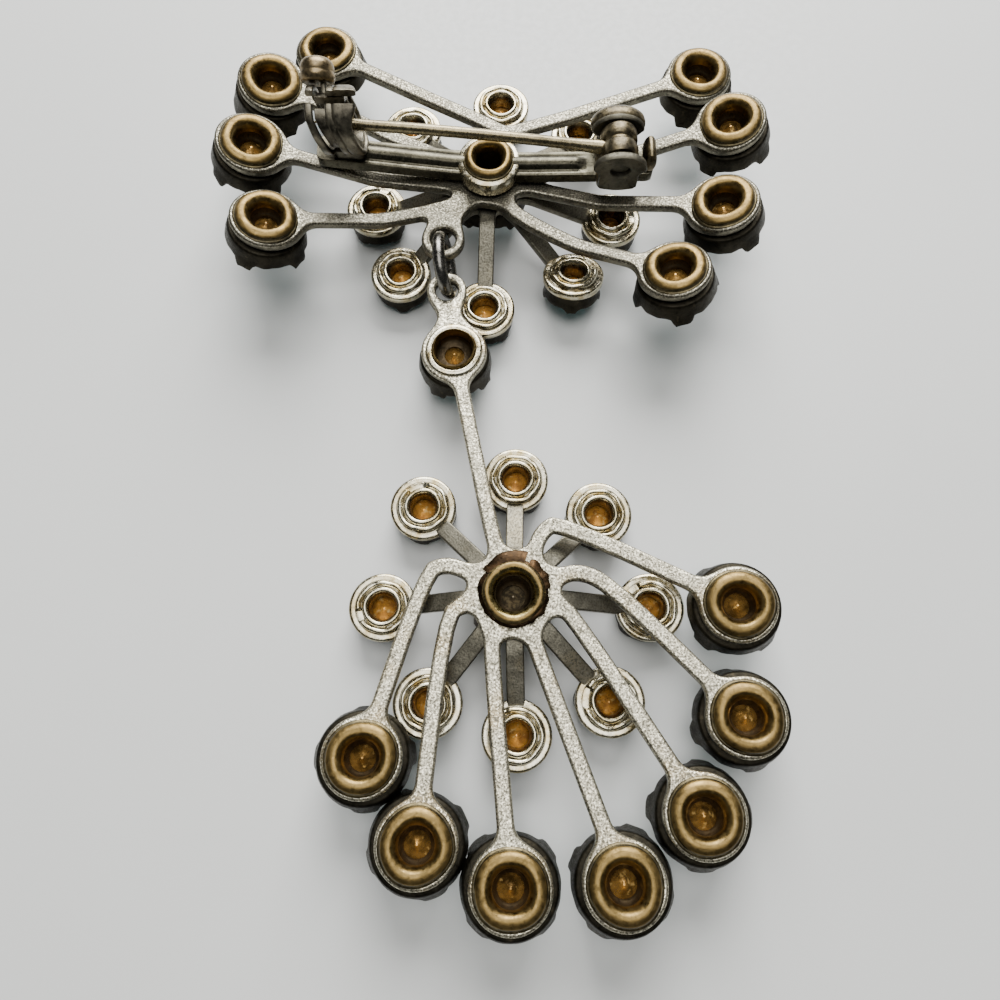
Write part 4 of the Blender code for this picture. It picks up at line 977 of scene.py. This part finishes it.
def stone(name, place, size, node, foil, girdle=0.15):
    """A round cut stone: table, star and kite facets, girdle and pavilion. Its back points up."""
    radius, crown, pavilion = size
    bm = bmesh.new()
    for share, z, count, turn in (
        (0.56, -girdle - crown, 8, 0.0),
        (0.8, -girdle - crown * 0.58, 8, 0.5),
        (1.0, -girdle, 16, 0.0),
        (1.0, 0.0, 16, 0.0),
        (0.42, pavilion * 0.62, 8, 0.0),
        (0.03, pavilion, 8, 0.0),
    ):
        for i in range(count):
            bm.verts.new((*polar(radius * share, 360.0 / count * (i + turn)), z))
    bmesh.ops.convex_hull(bm, input=bm.verts)
    bmesh.ops.dissolve_limit(bm, angle_limit=math.radians(1.0), verts=bm.verts, edges=bm.edges)
    bm.verts.ensure_lookup_table()
    bm.verts.index_update()
    verts = [tuple(v.co) for v in bm.verts]
    faces = [tuple(v.index for v in f.verts) for f in bm.faces]
    slots = [0 if f.calc_center_median().z > -girdle * 0.5 else 1 for f in bm.faces]
    bm.free()
    obj = piece(name, (verts, faces, slots), (foil, "front_glass"), place=place, stands_for=(node,))
    obj.data.set_sharp_from_angle(angle=math.radians(8))


# Findings
BAR_METALS = ("bar_plating", "hinge_brass", "case_metal", "ear_metal", "small_rim")
STRIP, HINGE, CASE, EAR, WASHER = range(5)

# Profiles as (radius, height): the washer, the pivot's domed far end, the curl and the lever's knob
WASHER_RIM = (
    (1.6, WASHER_TOP), (2.5, WASHER_TOP), (2.6, WASHER_TOP - 0.08), (2.62, WASHER_TOP - 0.2),
    (2.62, BAR_BOTTOM + 0.1), (2.55, BAR_BOTTOM), (1.6, BAR_BOTTOM),
)
CAP = (
    (0.01, 1.15), (0.35, 1.12), (0.65, 1.0), (0.86, 0.78), (0.97, 0.5), (1.0, 0.2),
    (1.0, -0.05), (0.97, -0.25), (0.88, -0.43), (0.74, -0.55), (0.01, -0.6),
)
CURL = (
    (0.02, 1.12), (0.6, 1.1), (0.9, 0.98), (1.0, 0.75),
    (1.0, -0.75), (0.9, -0.98), (0.6, -1.1), (0.02, -1.12),
)
KNOB = (
    (0.02, 1.9), (0.5, 1.87), (0.9, 1.75), (1.16, 1.55), (1.3, 1.28), (1.35, 1.0), (1.32, 0.84),
    (1.31, 0.78), (1.36, 0.68), (1.38, 0.45), (1.32, 0.2), (1.2, 0.06), (1.02, 0.0), (0.02, 0.0),
)


def bar_y(x):
    """The bar's middle: it lies a little askew through its rivet."""
    return STACK_SHIFT[1] + BAR_SKEW * (x - STACK_SHIFT[0])


def bar_rise(x):
    """How far the bowed bar stands above its middle."""
    side = 0 if x < 0 else 1
    span = abs(BAR_ENDS[side]) - BAR_FLAT
    return float(BAR_RISES[side] * soft_step(np.array(abs(x) - BAR_FLAT), 0.8) / span)


def bar_form(first, last):
    """A length of the bowed strip with its rounded rib."""
    close = (0.0, 0.04, 0.1)
    middle = np.linspace(first + 0.2, last - 0.2, int((last - first) / 0.2))
    rows = []
    for x in [first + c for c in close] + list(middle) + [last - c for c in close[::-1]]:
        end = min(x - BAR_ENDS[0], BAR_ENDS[1] - x)
        half = BAR_WIDTH / 2 * (0.72 + 0.28 * math.sqrt(max(0.0, 1 - (1 - min(1.0, end / 0.6)) ** 2)))
        rib = min(1.0, max(0.0, (x - RIB_ENDS[0]) / 0.6)) * min(1.0, max(0.0, (RIB_ENDS[1] - x) / 0.9))
        low = BAR_BOTTOM + bar_rise(x)
        high = low + BAR_TOP - BAR_BOTTOM
        section = [(0.12 - half, low), (half - 0.12, low), (half, low + 0.12)]
        section += [(half, high - 0.14), (half - 0.04, high - 0.04), (half - 0.14, high)]
        for y in np.linspace(0.9, -0.9, 19):
            dome = 0.42 * math.sqrt(max(0.0, 1 - (y / 0.56) ** 2))
            groove = 0.1 * math.exp(-(((abs(y) - 0.68) / 0.1) ** 2))
            section.append((y, high + rib * (dome - groove)))
        section += [(0.14 - half, high), (0.04 - half, high - 0.04)]
        section += [(-half, high - 0.14), (-half, low + 0.12)]
        rows.append([(x, bar_y(x) + y, z) for y, z in section])
    return loft_form(rows)


def across(x, y, z):
    """Lays a form turned about Z along Y instead."""
    return Matrix.Translation((x, y, z)) @ Matrix.Rotation(-math.pi / 2, 4, "X")


def ring_row(radius_x, radius_z, y, low=None, half=None, steps=40):
    """A row around the hinge's axis. Below its centre it may run down as a straight web."""
    row = []
    for k in range(steps):
        a = 2 * math.pi * k / steps
        x, z = radius_x * math.cos(a), radius_z * math.sin(a)
        if low is not None and z < 0:
            x = max(-half, min(half, x * 1.35))
            z = low * (-math.sin(a)) ** 0.8
        row.append((x, y, z))
    return row


def ear_form(outer_y, inner_y, low, hole=None):
    """A hinge ear: an oval top on a straight web, with a sunk hole on its outer face when asked."""
    way = 1 if inner_y > outer_y else -1
    rows = []
    if hole:
        w, h = hole
        rows += [ring_row(w * 0.94, h * 0.94, outer_y + way * 0.34), ring_row(w, h, outer_y + way * 0.06)]
        rows += [ring_row(w + 0.07, h + 0.07, outer_y)]
    outside = ((0.16, outer_y), (0.05, outer_y + way * 0.05), (0.0, outer_y + way * 0.16))
    for shrink, y in outside + ((0.0, inner_y - way * 0.12), (0.1, inner_y)):
        rows.append(ring_row(EAR_HALF - shrink, EAR_UP - shrink, y, low, EAR_HALF * 0.75 - shrink))
    return loft_form(rows)


def barrel_form(r, half, inner=0.62):
    """The stem's rolled barrel with its groove."""
    profile = [(inner, half), (r * 0.86, half), (r * 0.96, half - 0.06), (r, half - 0.2)]
    profile += [(r, half * 0.34), (r * 0.95, half * 0.24), (r * 0.86, half * 0.14)]
    profile += [(r * 0.86, half * 0.02), (r * 0.96, -half * 0.1), (r, -half * 0.2)]
    profile += [(r, -half + 0.2), (r * 0.96, -half + 0.06), (r * 0.86, -half), (inner, -half)]
    return turned_form(profile, 56)


def case_lean(angle):
    """How far the case's ring leans along the bar at an angle about its axis."""
    return float(np.interp(angle % 360.0, *CASE_LEANS))


def mouth(middle_radius, radius, gap=0.0):
    """Where a ring that is open for the stem starts and how far it sweeps, in degrees."""
    half = math.degrees(math.asin(MOUTH_HALF / middle_radius)) + gap
    shift = math.degrees(math.asin((CATCH[1] - STEM_Y) / radius))
    return 90.0 + shift + half, 360.0 - 2 * half


def flange_form(x_low, x_high, lip, flare, steps=60):
    """A C-shaped flange of the case about the catch's axis, with rolled and flared lips at its mouth."""
    start, sweep = mouth(CASE_R - CASE_WALL / 2, CASE_R, 0.5)
    rows = []
    for k in range(steps + 1):
        a = math.radians(start + sweep * k / steps)
        near = min(k, steps - k)
        roll = lip * math.exp(-((near / 3.0) ** 2))
        right = x_high + flare * math.exp(-((near / 6.0) ** 2))
        middle = (x_low + right) / 2 + case_lean(math.degrees(a))
        inner, outer = CASE_R - CASE_WALL - roll * 0.2, CASE_R + roll
        row = []
        for x, r in soft_section((right - x_low) / 2, (outer - inner) / 2, (0.45, 0.5)):
            r += (inner + outer) / 2
            row.append((middle + x, r * math.cos(a), r * math.sin(a)))
        rows.append(row)
    return loft_form(rows)


def sleeve_form(steps=48):
    """The catch's sleeve, open for the stem and leaning with the case."""
    start, sweep = mouth(SLEEVE_R, SLEEVE_R)
    (left, right), wall, soft = SLEEVE_ENDS, SLEEVE_WALL, 0.08
    section = ((left, soft), (left, wall - soft), (left + soft, wall), (right - soft, wall))
    section += ((right, wall - soft), (right, soft), (right - soft, 0.0), (left + soft, 0.0))
    rows = []
    for k in range(steps + 1):
        a = math.radians(start + sweep * k / steps)
        lean = case_lean(math.degrees(a))
        reached = [(x + lean, SLEEVE_R - wall + r) for x, r in section]
        rows.append([(x, r * math.cos(a), r * math.sin(a)) for x, r in reached])
    return loft_form(rows)


# Operators
class SprayOperator(bpy.types.Operator):
    """Cuts the two spray plates"""

    bl_idname = "brooch.sprays"
    bl_label = "Spray plates"

    def execute(self, context):
        s = sizes()
        # The brooch's spray gets the plating painted as shade, the drop's the plating painted as light.
        for unit, metal in ((BROOCH, "grey_plating"), (DROP, "warm_plating")):
            outline = Outline(s.fillet / MM)
            outline.disc(unit.shift, unit.hub_disc)
            ends = [unit.loop_path[-1]]
            for name, _, path, _, _ in unit.arms:
                pad, hole = (STEM_PAD_SHARE, STEM_SETTING_SHARE) if name == "stem" else (1.0, 1.0)
                outline.bar(path, s.arm / MM / 2)
                outline.disc(path[-1], s.pad / MM * pad)
                outline.holes.append((path[-1], PAD_HOLE * hole))
                ends.append(path[-1])
            _, half, webs, loop_disc, loop_hole = unit.loop
            outline.bar(unit.loop_path, half)
            for spot, radius in webs:
                outline.disc(spot, radius)
            outline.disc(ends[0], loop_disc)
            outline.holes += [(ends[0], loop_hole), (unit.shift, unit.hole)]
            form = plate_form(outline, ends, 4.0, unit.height, s.plate / MM, edge=0.2)
            node = unit.name + "_spray"
            piece(node + "_plate", form, (metal, "plate_edge"), moved(unit.hub), stands_for=(node,))
        return {"FINISHED"}


class StarOperator(bpy.types.Operator):
    """Cuts the two star plates under the sprays"""

    bl_idname = "brooch.stars"
    bl_label = "Star plates"

    def execute(self, context):
        s = sizes()
        for unit in (BROOCH, DROP):
            outline = Outline(s.fillet / MM * 0.7)
            outline.disc(unit.shift, STAR_HUB_DISC)
            ends = [polar(share * STAR_REACH - STAR_ARM_SHORT, bearing) for bearing, share, _ in unit.star]
            for end in ends:
                outline.bar([np.zeros(2), end], s.star_arm / MM / 2)
            outline.holes.append((unit.shift, unit.hole))
            form = plate_form(outline, ends, 1.5, unit.star_height, s.star_plate / MM, edge=0.08)
            node = unit.name + "_star"
            # The stars take the plating darkened as painted shade under the sprays.
            piece(node + "_plate", form, ("star_plating", "plate_edge"), moved(unit.hub), stands_for=(node,))
        return {"FINISHED"}


class LargeSettingOperator(bpy.types.Operator):
    """Rivets the large cups to the sprays"""

    bl_idname = "brooch.large_settings"
    bl_label = "Large settings"

    def execute(self, context):
        s = sizes()
        seed = LARGE_SEED
        for unit, swell in ((BROOCH, 1.0), (DROP, 1.05)):
            for name, place in unit.large_seats():
                seed += 1
                hole, rim, look = s.hole / MM, s.rim / MM, {}
                if name == "stem":
                    hole, rim, look = 1.72, 2.66, {"crest": 0.19, "flat": True, "metals": STEM_METALS}
                title, node = f"{unit.name}_{name}_setting", f"{unit.name}_cup_{name}"
                large_setting(title, place, node, seed, hole, rim, swell=swell, **look)
        return {"FINISHED"}


class SmallSettingOperator(bpy.types.Operator):
    """Rivets the small cups to the stars"""

    bl_idname = "brooch.small_settings"
    bl_label = "Small settings"

    def execute(self, context):
        seed = SMALL_SEED
        for unit in (BROOCH, DROP):
            for i, place in unit.small_seats():
                seed += 1
                small_setting(f"{unit.name}_star_setting_{i}", place, f"{unit.name}_star", seed)
        return {"FINISHED"}


class CentreSettingOperator(bpy.types.Operator):
    """Rivets the centre cups through the stacks"""

    bl_idname = "brooch.centre_settings"
    bl_label = "Centre settings"

    def execute(self, context):
        gap = sizes().star_plate / MM + 0.2
        place = moved(BROOCH_RIVET, WASHER_TOP)
        base = BROOCH_STAR_TOP - gap - WASHER_TOP
        large_setting(
            "brooch_centre_setting", place, "brooch_centre_cup", BROOCH_CENTRE_SEED, 1.1, 2.2, base=base
        )
        place = moved(DROP_HUB, DROP_SPRAY_TOP + 0.2)
        base = DROP_STAR_TOP - gap - DROP_SPRAY_TOP - 0.2
        look = {"crest": 0.52, "base": base, "metals": HUB_METALS, "extra": petals}
        large_setting("drop_centre_setting", place, "drop_centre_cup", DROP_CENTRE_SEED, 1.35, 2.55, **look)
        return {"FINISHED"}


class StoneOperator(bpy.types.Operator):
    """Sets the cut stones in their cups"""

    bl_idname = "brooch.stones"
    bl_label = "Stones"

    def execute(self, context):
        for unit in (BROOCH, DROP):
            down = moved((0.0, 0.0), -LARGE_STONE_DROP)
            for name, place in unit.large_seats():
                node = f"{unit.name}_stone_{name}"
                stone(f"{unit.name}_{name}_gem", place @ down, LARGE_STONE, node, "foil_back")
            down = moved((0.0, 0.0), -SMALL_STONE_DROP)
            for i, place in unit.small_seats():
                node = f"{unit.name}_star_stone_{i}"
                stone(f"{unit.name}_star_gem_{i}", place @ down, SMALL_STONE, node, "star_foil")
            node = f"{unit.name}_centre_stone"
            low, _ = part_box(node)
            place = moved(hub_of(node), low[2] / MM + CENTRE_STONE_LIFT)
            # The centre stones take the foil darkened as painted shade.
            stone(f"{unit.name}_centre_gem", place, LARGE_STONE, node, "deep_foil")
        return {"FINISHED"}


class JumpRingOperator(bpy.types.Operator):
    """Bends the oval jump ring through both loops"""

    bl_idname = "brooch.jump_ring"
    bl_label = "Jump ring"

    def execute(self, context):
        top = BROOCH.hub + BROOCH.loop_path[-1]
        low = DROP.hub + DROP.loop_path[-1]
        length = np.linalg.norm(low - top)
        reach = (low - top) / length * (length / 2 + 0.2)
        steps, half_height, bulge = 72, 1.9, 0.4
        points = []
        for i in range(steps):
            a = 2 * math.pi * i / steps
            x, y = (top + low) / 2 + reach * math.cos(a)
            points.append((x - bulge * math.sin(a), y, RING_MIDDLE + half_height * math.sin(a)))
        form = wire_form(points, [sizes().ring_wire / MM] * steps, closed=True)
        piece("jump_ring_wire", form, ("ring_metal",), stands_for=("jump_ring",))
        return {"FINISHED"}


class BarOperator(bpy.types.Operator):
    """Makes the pin bar, its washer, the hinge ears and the catch's case"""

    bl_idname = "brooch.pin_bar"
    bl_label = "Pin bar"

    def execute(self, context):
        heap = Heap()
        heap.add(bar_form(BAR_ENDS[0], STACK_SHIFT[0] - BAR_GAP_HALF), STRIP)
        heap.add(bar_form(STACK_SHIFT[0] + BAR_GAP_HALF, BAR_ENDS[1]), STRIP)
        heap.add(turned_form(WASHER_RIM, 56), WASHER, moved(STACK_SHIFT))
        self.add_hinge(heap)
        self.add_case(heap)
        heap.place("pin_bar_finding", BAR_METALS, 40, place=moved(BROOCH_HUB), stands_for=("pin_bar",))
        return {"FINISHED"}

    def add_hinge(self, heap):
        """Adds the two ears on their floor, the hollow pivot with its domed end, and the curl."""
        x, y, z = PIVOT
        axis = Matrix.Translation(PIVOT)
        inside = BARREL_HALF + 0.2
        outside = inside + EAR_T
        floor = BAR_TOP + bar_rise(x) - 0.5 - z
        heap.add(ear_form(-outside, -inside, floor, hole=(0.8, 0.62)), EAR, axis)
        heap.add(ear_form(outside, inside, floor), EAR, axis)
        heap.add(block_form((EAR_HALF * 1.6, 2 * outside, 0.5), (x, y, z + floor + 0.25)), HINGE)
        end = inside + 0.1
        pivot = [(0.02, -end), (0.44, -end), (0.44, end), (0.02, end)]
        heap.add(turned_form(pivot, 24), HINGE, across(*PIVOT))
        oval = Matrix.Diagonal((CAP_HALF, CAP_UP, 1.0, 1.0))
        heap.add(turned_form(CAP, 40), HINGE, across(x, y + outside - 0.05, z) @ oval)
        place = across(CURL_X, bar_y(CURL_X), BAR_TOP + bar_rise(CURL_X) + 0.9)
        heap.add(turned_form(CURL, 40), HINGE, place @ Matrix.Diagonal((0.54, 1.06, 1.0, 1.0)))

    def add_case(self, heap):
        """Adds the C-shaped flanges, open upward for the stem, and their foot."""
        x, y, z = CATCH
        left, right = CASE_LEFT, CASE_RIGHT
        for low, high, lip, flare in (
            (left, left + 0.62, 0.03, 0.0),
            (right - 1.6, right - 1.0, 0.03, 0.0),
            (right - 1.08, right, 0.08, 0.75),
        ):
            heap.add(flange_form(low, high, lip, flare), CASE, Matrix.Translation(CATCH))
        foot = x + (left + right) / 2 + case_lean(270.0)
        top, low = z - CASE_R + 0.25, BAR_TOP + bar_rise(foot) - 0.5
        heap.add(block_form((2.6, 2.0, top - low), (foot, y, (top + low) / 2)), CASE)


class StemOperator(bpy.types.Operator):
    """Draws the pin stem from its rolled barrel"""

    bl_idname = "brooch.pin_stem"
    bl_label = "Pin stem"

    def execute(self, context):
        wire_slot, barrel_slot = 0, 1
        heap = Heap()
        heap.add(barrel_form(BARREL_R, BARREL_HALF), barrel_slot, across(*PIVOT))
        start = np.array(PIVOT) - (1.05, 0.0, 0.0)
        tip = np.array([CATCH[0] - 0.75, STEM_Y, CATCH[2]])
        wire = sizes().stem_wire / MM
        steps, bow = 60, 0.25
        points, radii = [], []
        for i in range(steps + 1):
            t = i / steps
            spot = start + (tip - start) * t + (0.0, 0.0, bow * math.sin(math.pi * t))
            points.append(tuple(spot))
            point = min(1.0, max(0.16, (spot[0] - tip[0]) / 2.2))
            radii.append(wire * point * (1.0 + 0.35 * math.exp(-((t * 14) ** 2))))
        heap.add(wire_form(points, radii), wire_slot)
        where = {"place": moved(BROOCH_HUB), "body": "pin", "stands_for": ("pin_stem",)}
        heap.place("pin_stem_finding", ("stem_metal", "hinge_brass"), 40, **where)
        return {"FINISHED"}


class CatchOperator(bpy.types.Operator):
    """Rolls the catch's sleeve and turns its lever"""

    bl_idname = "brooch.catch"
    bl_label = "Catch sleeve"

    def execute(self, context):
        knob_slot, sleeve_slot = 0, 1
        heap = Heap()
        heap.add(sleeve_form(), sleeve_slot)
        turn = Matrix.Rotation(-math.radians(90.0 - LEVER_ANGLE), 4, "X")
        heap.add(turned_form([(r, CASE_R + 0.12 + h) for r, h in KNOB], 48), knob_slot, turn)
        heap.add(block_form((0.4, 0.9, 1.3), (0.47, 0.0, 2.2)), sleeve_slot, turn)
        place = moved(BROOCH_HUB) @ Matrix.Translation(CATCH)
        where = {"place": place, "body": "catch", "stands_for": ("catch_sleeve",)}
        heap.place("catch_finding", ("lever_brass", "case_metal"), 40, **where)
        return {"FINISHED"}


class StageOperator(bpy.types.Operator):
    """Lays the surface and sets the lights and the camera"""

    bl_idname = "brooch.stage"
    bl_label = "Stage"

    def execute(self, context):
        scene = bpy.context.scene
        bm = bmesh.new()
        bmesh.ops.create_grid(bm, x_segments=2, y_segments=2, size=1.2)
        mesh = bpy.data.meshes.new("surface")
        bm.to_mesh(mesh)
        bm.free()
        mesh.materials.append(material("pale_surface"))
        floor = bpy.data.objects.new("surface", mesh)
        floor.location.z = -0.00002
        scene.collection.objects.link(floor)

        camera = bpy.data.objects.new("camera", bpy.data.cameras.new("camera"))
        camera.data.sensor_width = 36.0
        camera.data.lens = CAMERA_LENS
        camera.data.clip_start, camera.data.clip_end = 0.001, 5.0
        camera.location = Vector((*(BROOCH_HUB + CAMERA_SHIFT), CAMERA_HEIGHT)) * MM
        camera.rotation_euler = (math.radians(CAMERA_TILT), 0.0, 0.0)
        scene.collection.objects.link(camera)
        scene.camera = camera

        for name, spot, width, power in LAMPS:
            lamp = bpy.data.lights.new(name, "AREA")
            lamp.shape = "SQUARE"
            lamp.size = width
            lamp.energy = power
            obj = bpy.data.objects.new(name, lamp)
            obj.location = spot
            obj.rotation_mode = "QUATERNION"
            obj.rotation_quaternion = (-Vector(spot)).to_track_quat("-Z", "Y")
            scene.collection.objects.link(obj)
        world = bpy.data.worlds.new("studio")
        world.use_nodes = True
        background = world.node_tree.nodes["Background"]
        background.inputs["Color"].default_value = SKY_COLOUR
        background.inputs["Strength"].default_value = SKY_STRENGTH
        scene.world = world
        return {"FINISHED"}


OPERATORS = (
    StageOperator,
    SprayOperator,
    StarOperator,
    LargeSettingOperator,
    SmallSettingOperator,
    CentreSettingOperator,
    StoneOperator,
    JumpRingOperator,
    BarOperator,
    StemOperator,
    CatchOperator,
)


class BroochPanel(bpy.types.Panel):
    """Lists the brooch's pieces and sizes"""

    bl_idname = "VIEW3D_PT_drop_brooch"
    bl_label = "Drop brooch"
    bl_space_type = "VIEW_3D"
    bl_region_type = "UI"
    bl_category = "Drop brooch"

    def draw(self, context):
        column = self.layout.column()
        for operator in OPERATORS:
            column.operator(operator.bl_idname)
        for group in (context.scene.brooch_sizes, context.scene.brooch_finishes):
            for key in group.__annotations__:
                column.prop(group, key)


CLASSES = (BroochSizes, BroochFinishes) + OPERATORS + (BroochPanel,)


def register():
    for cls in CLASSES:
        bpy.utils.register_class(cls)
    bpy.types.Scene.brooch_sizes = bpy.props.PointerProperty(type=BroochSizes)
    bpy.types.Scene.brooch_finishes = bpy.props.PointerProperty(type=BroochFinishes)


def unregister():
    del bpy.types.Scene.brooch_finishes
    del bpy.types.Scene.brooch_sizes
    for cls in reversed(CLASSES):
        bpy.utils.unregister_class(cls)


def main():
    register()
    for operator in OPERATORS:
        group, name = operator.bl_idname.split(".")
        getattr(getattr(bpy.ops, group), name)()


if __name__ == "__main__":
    main()
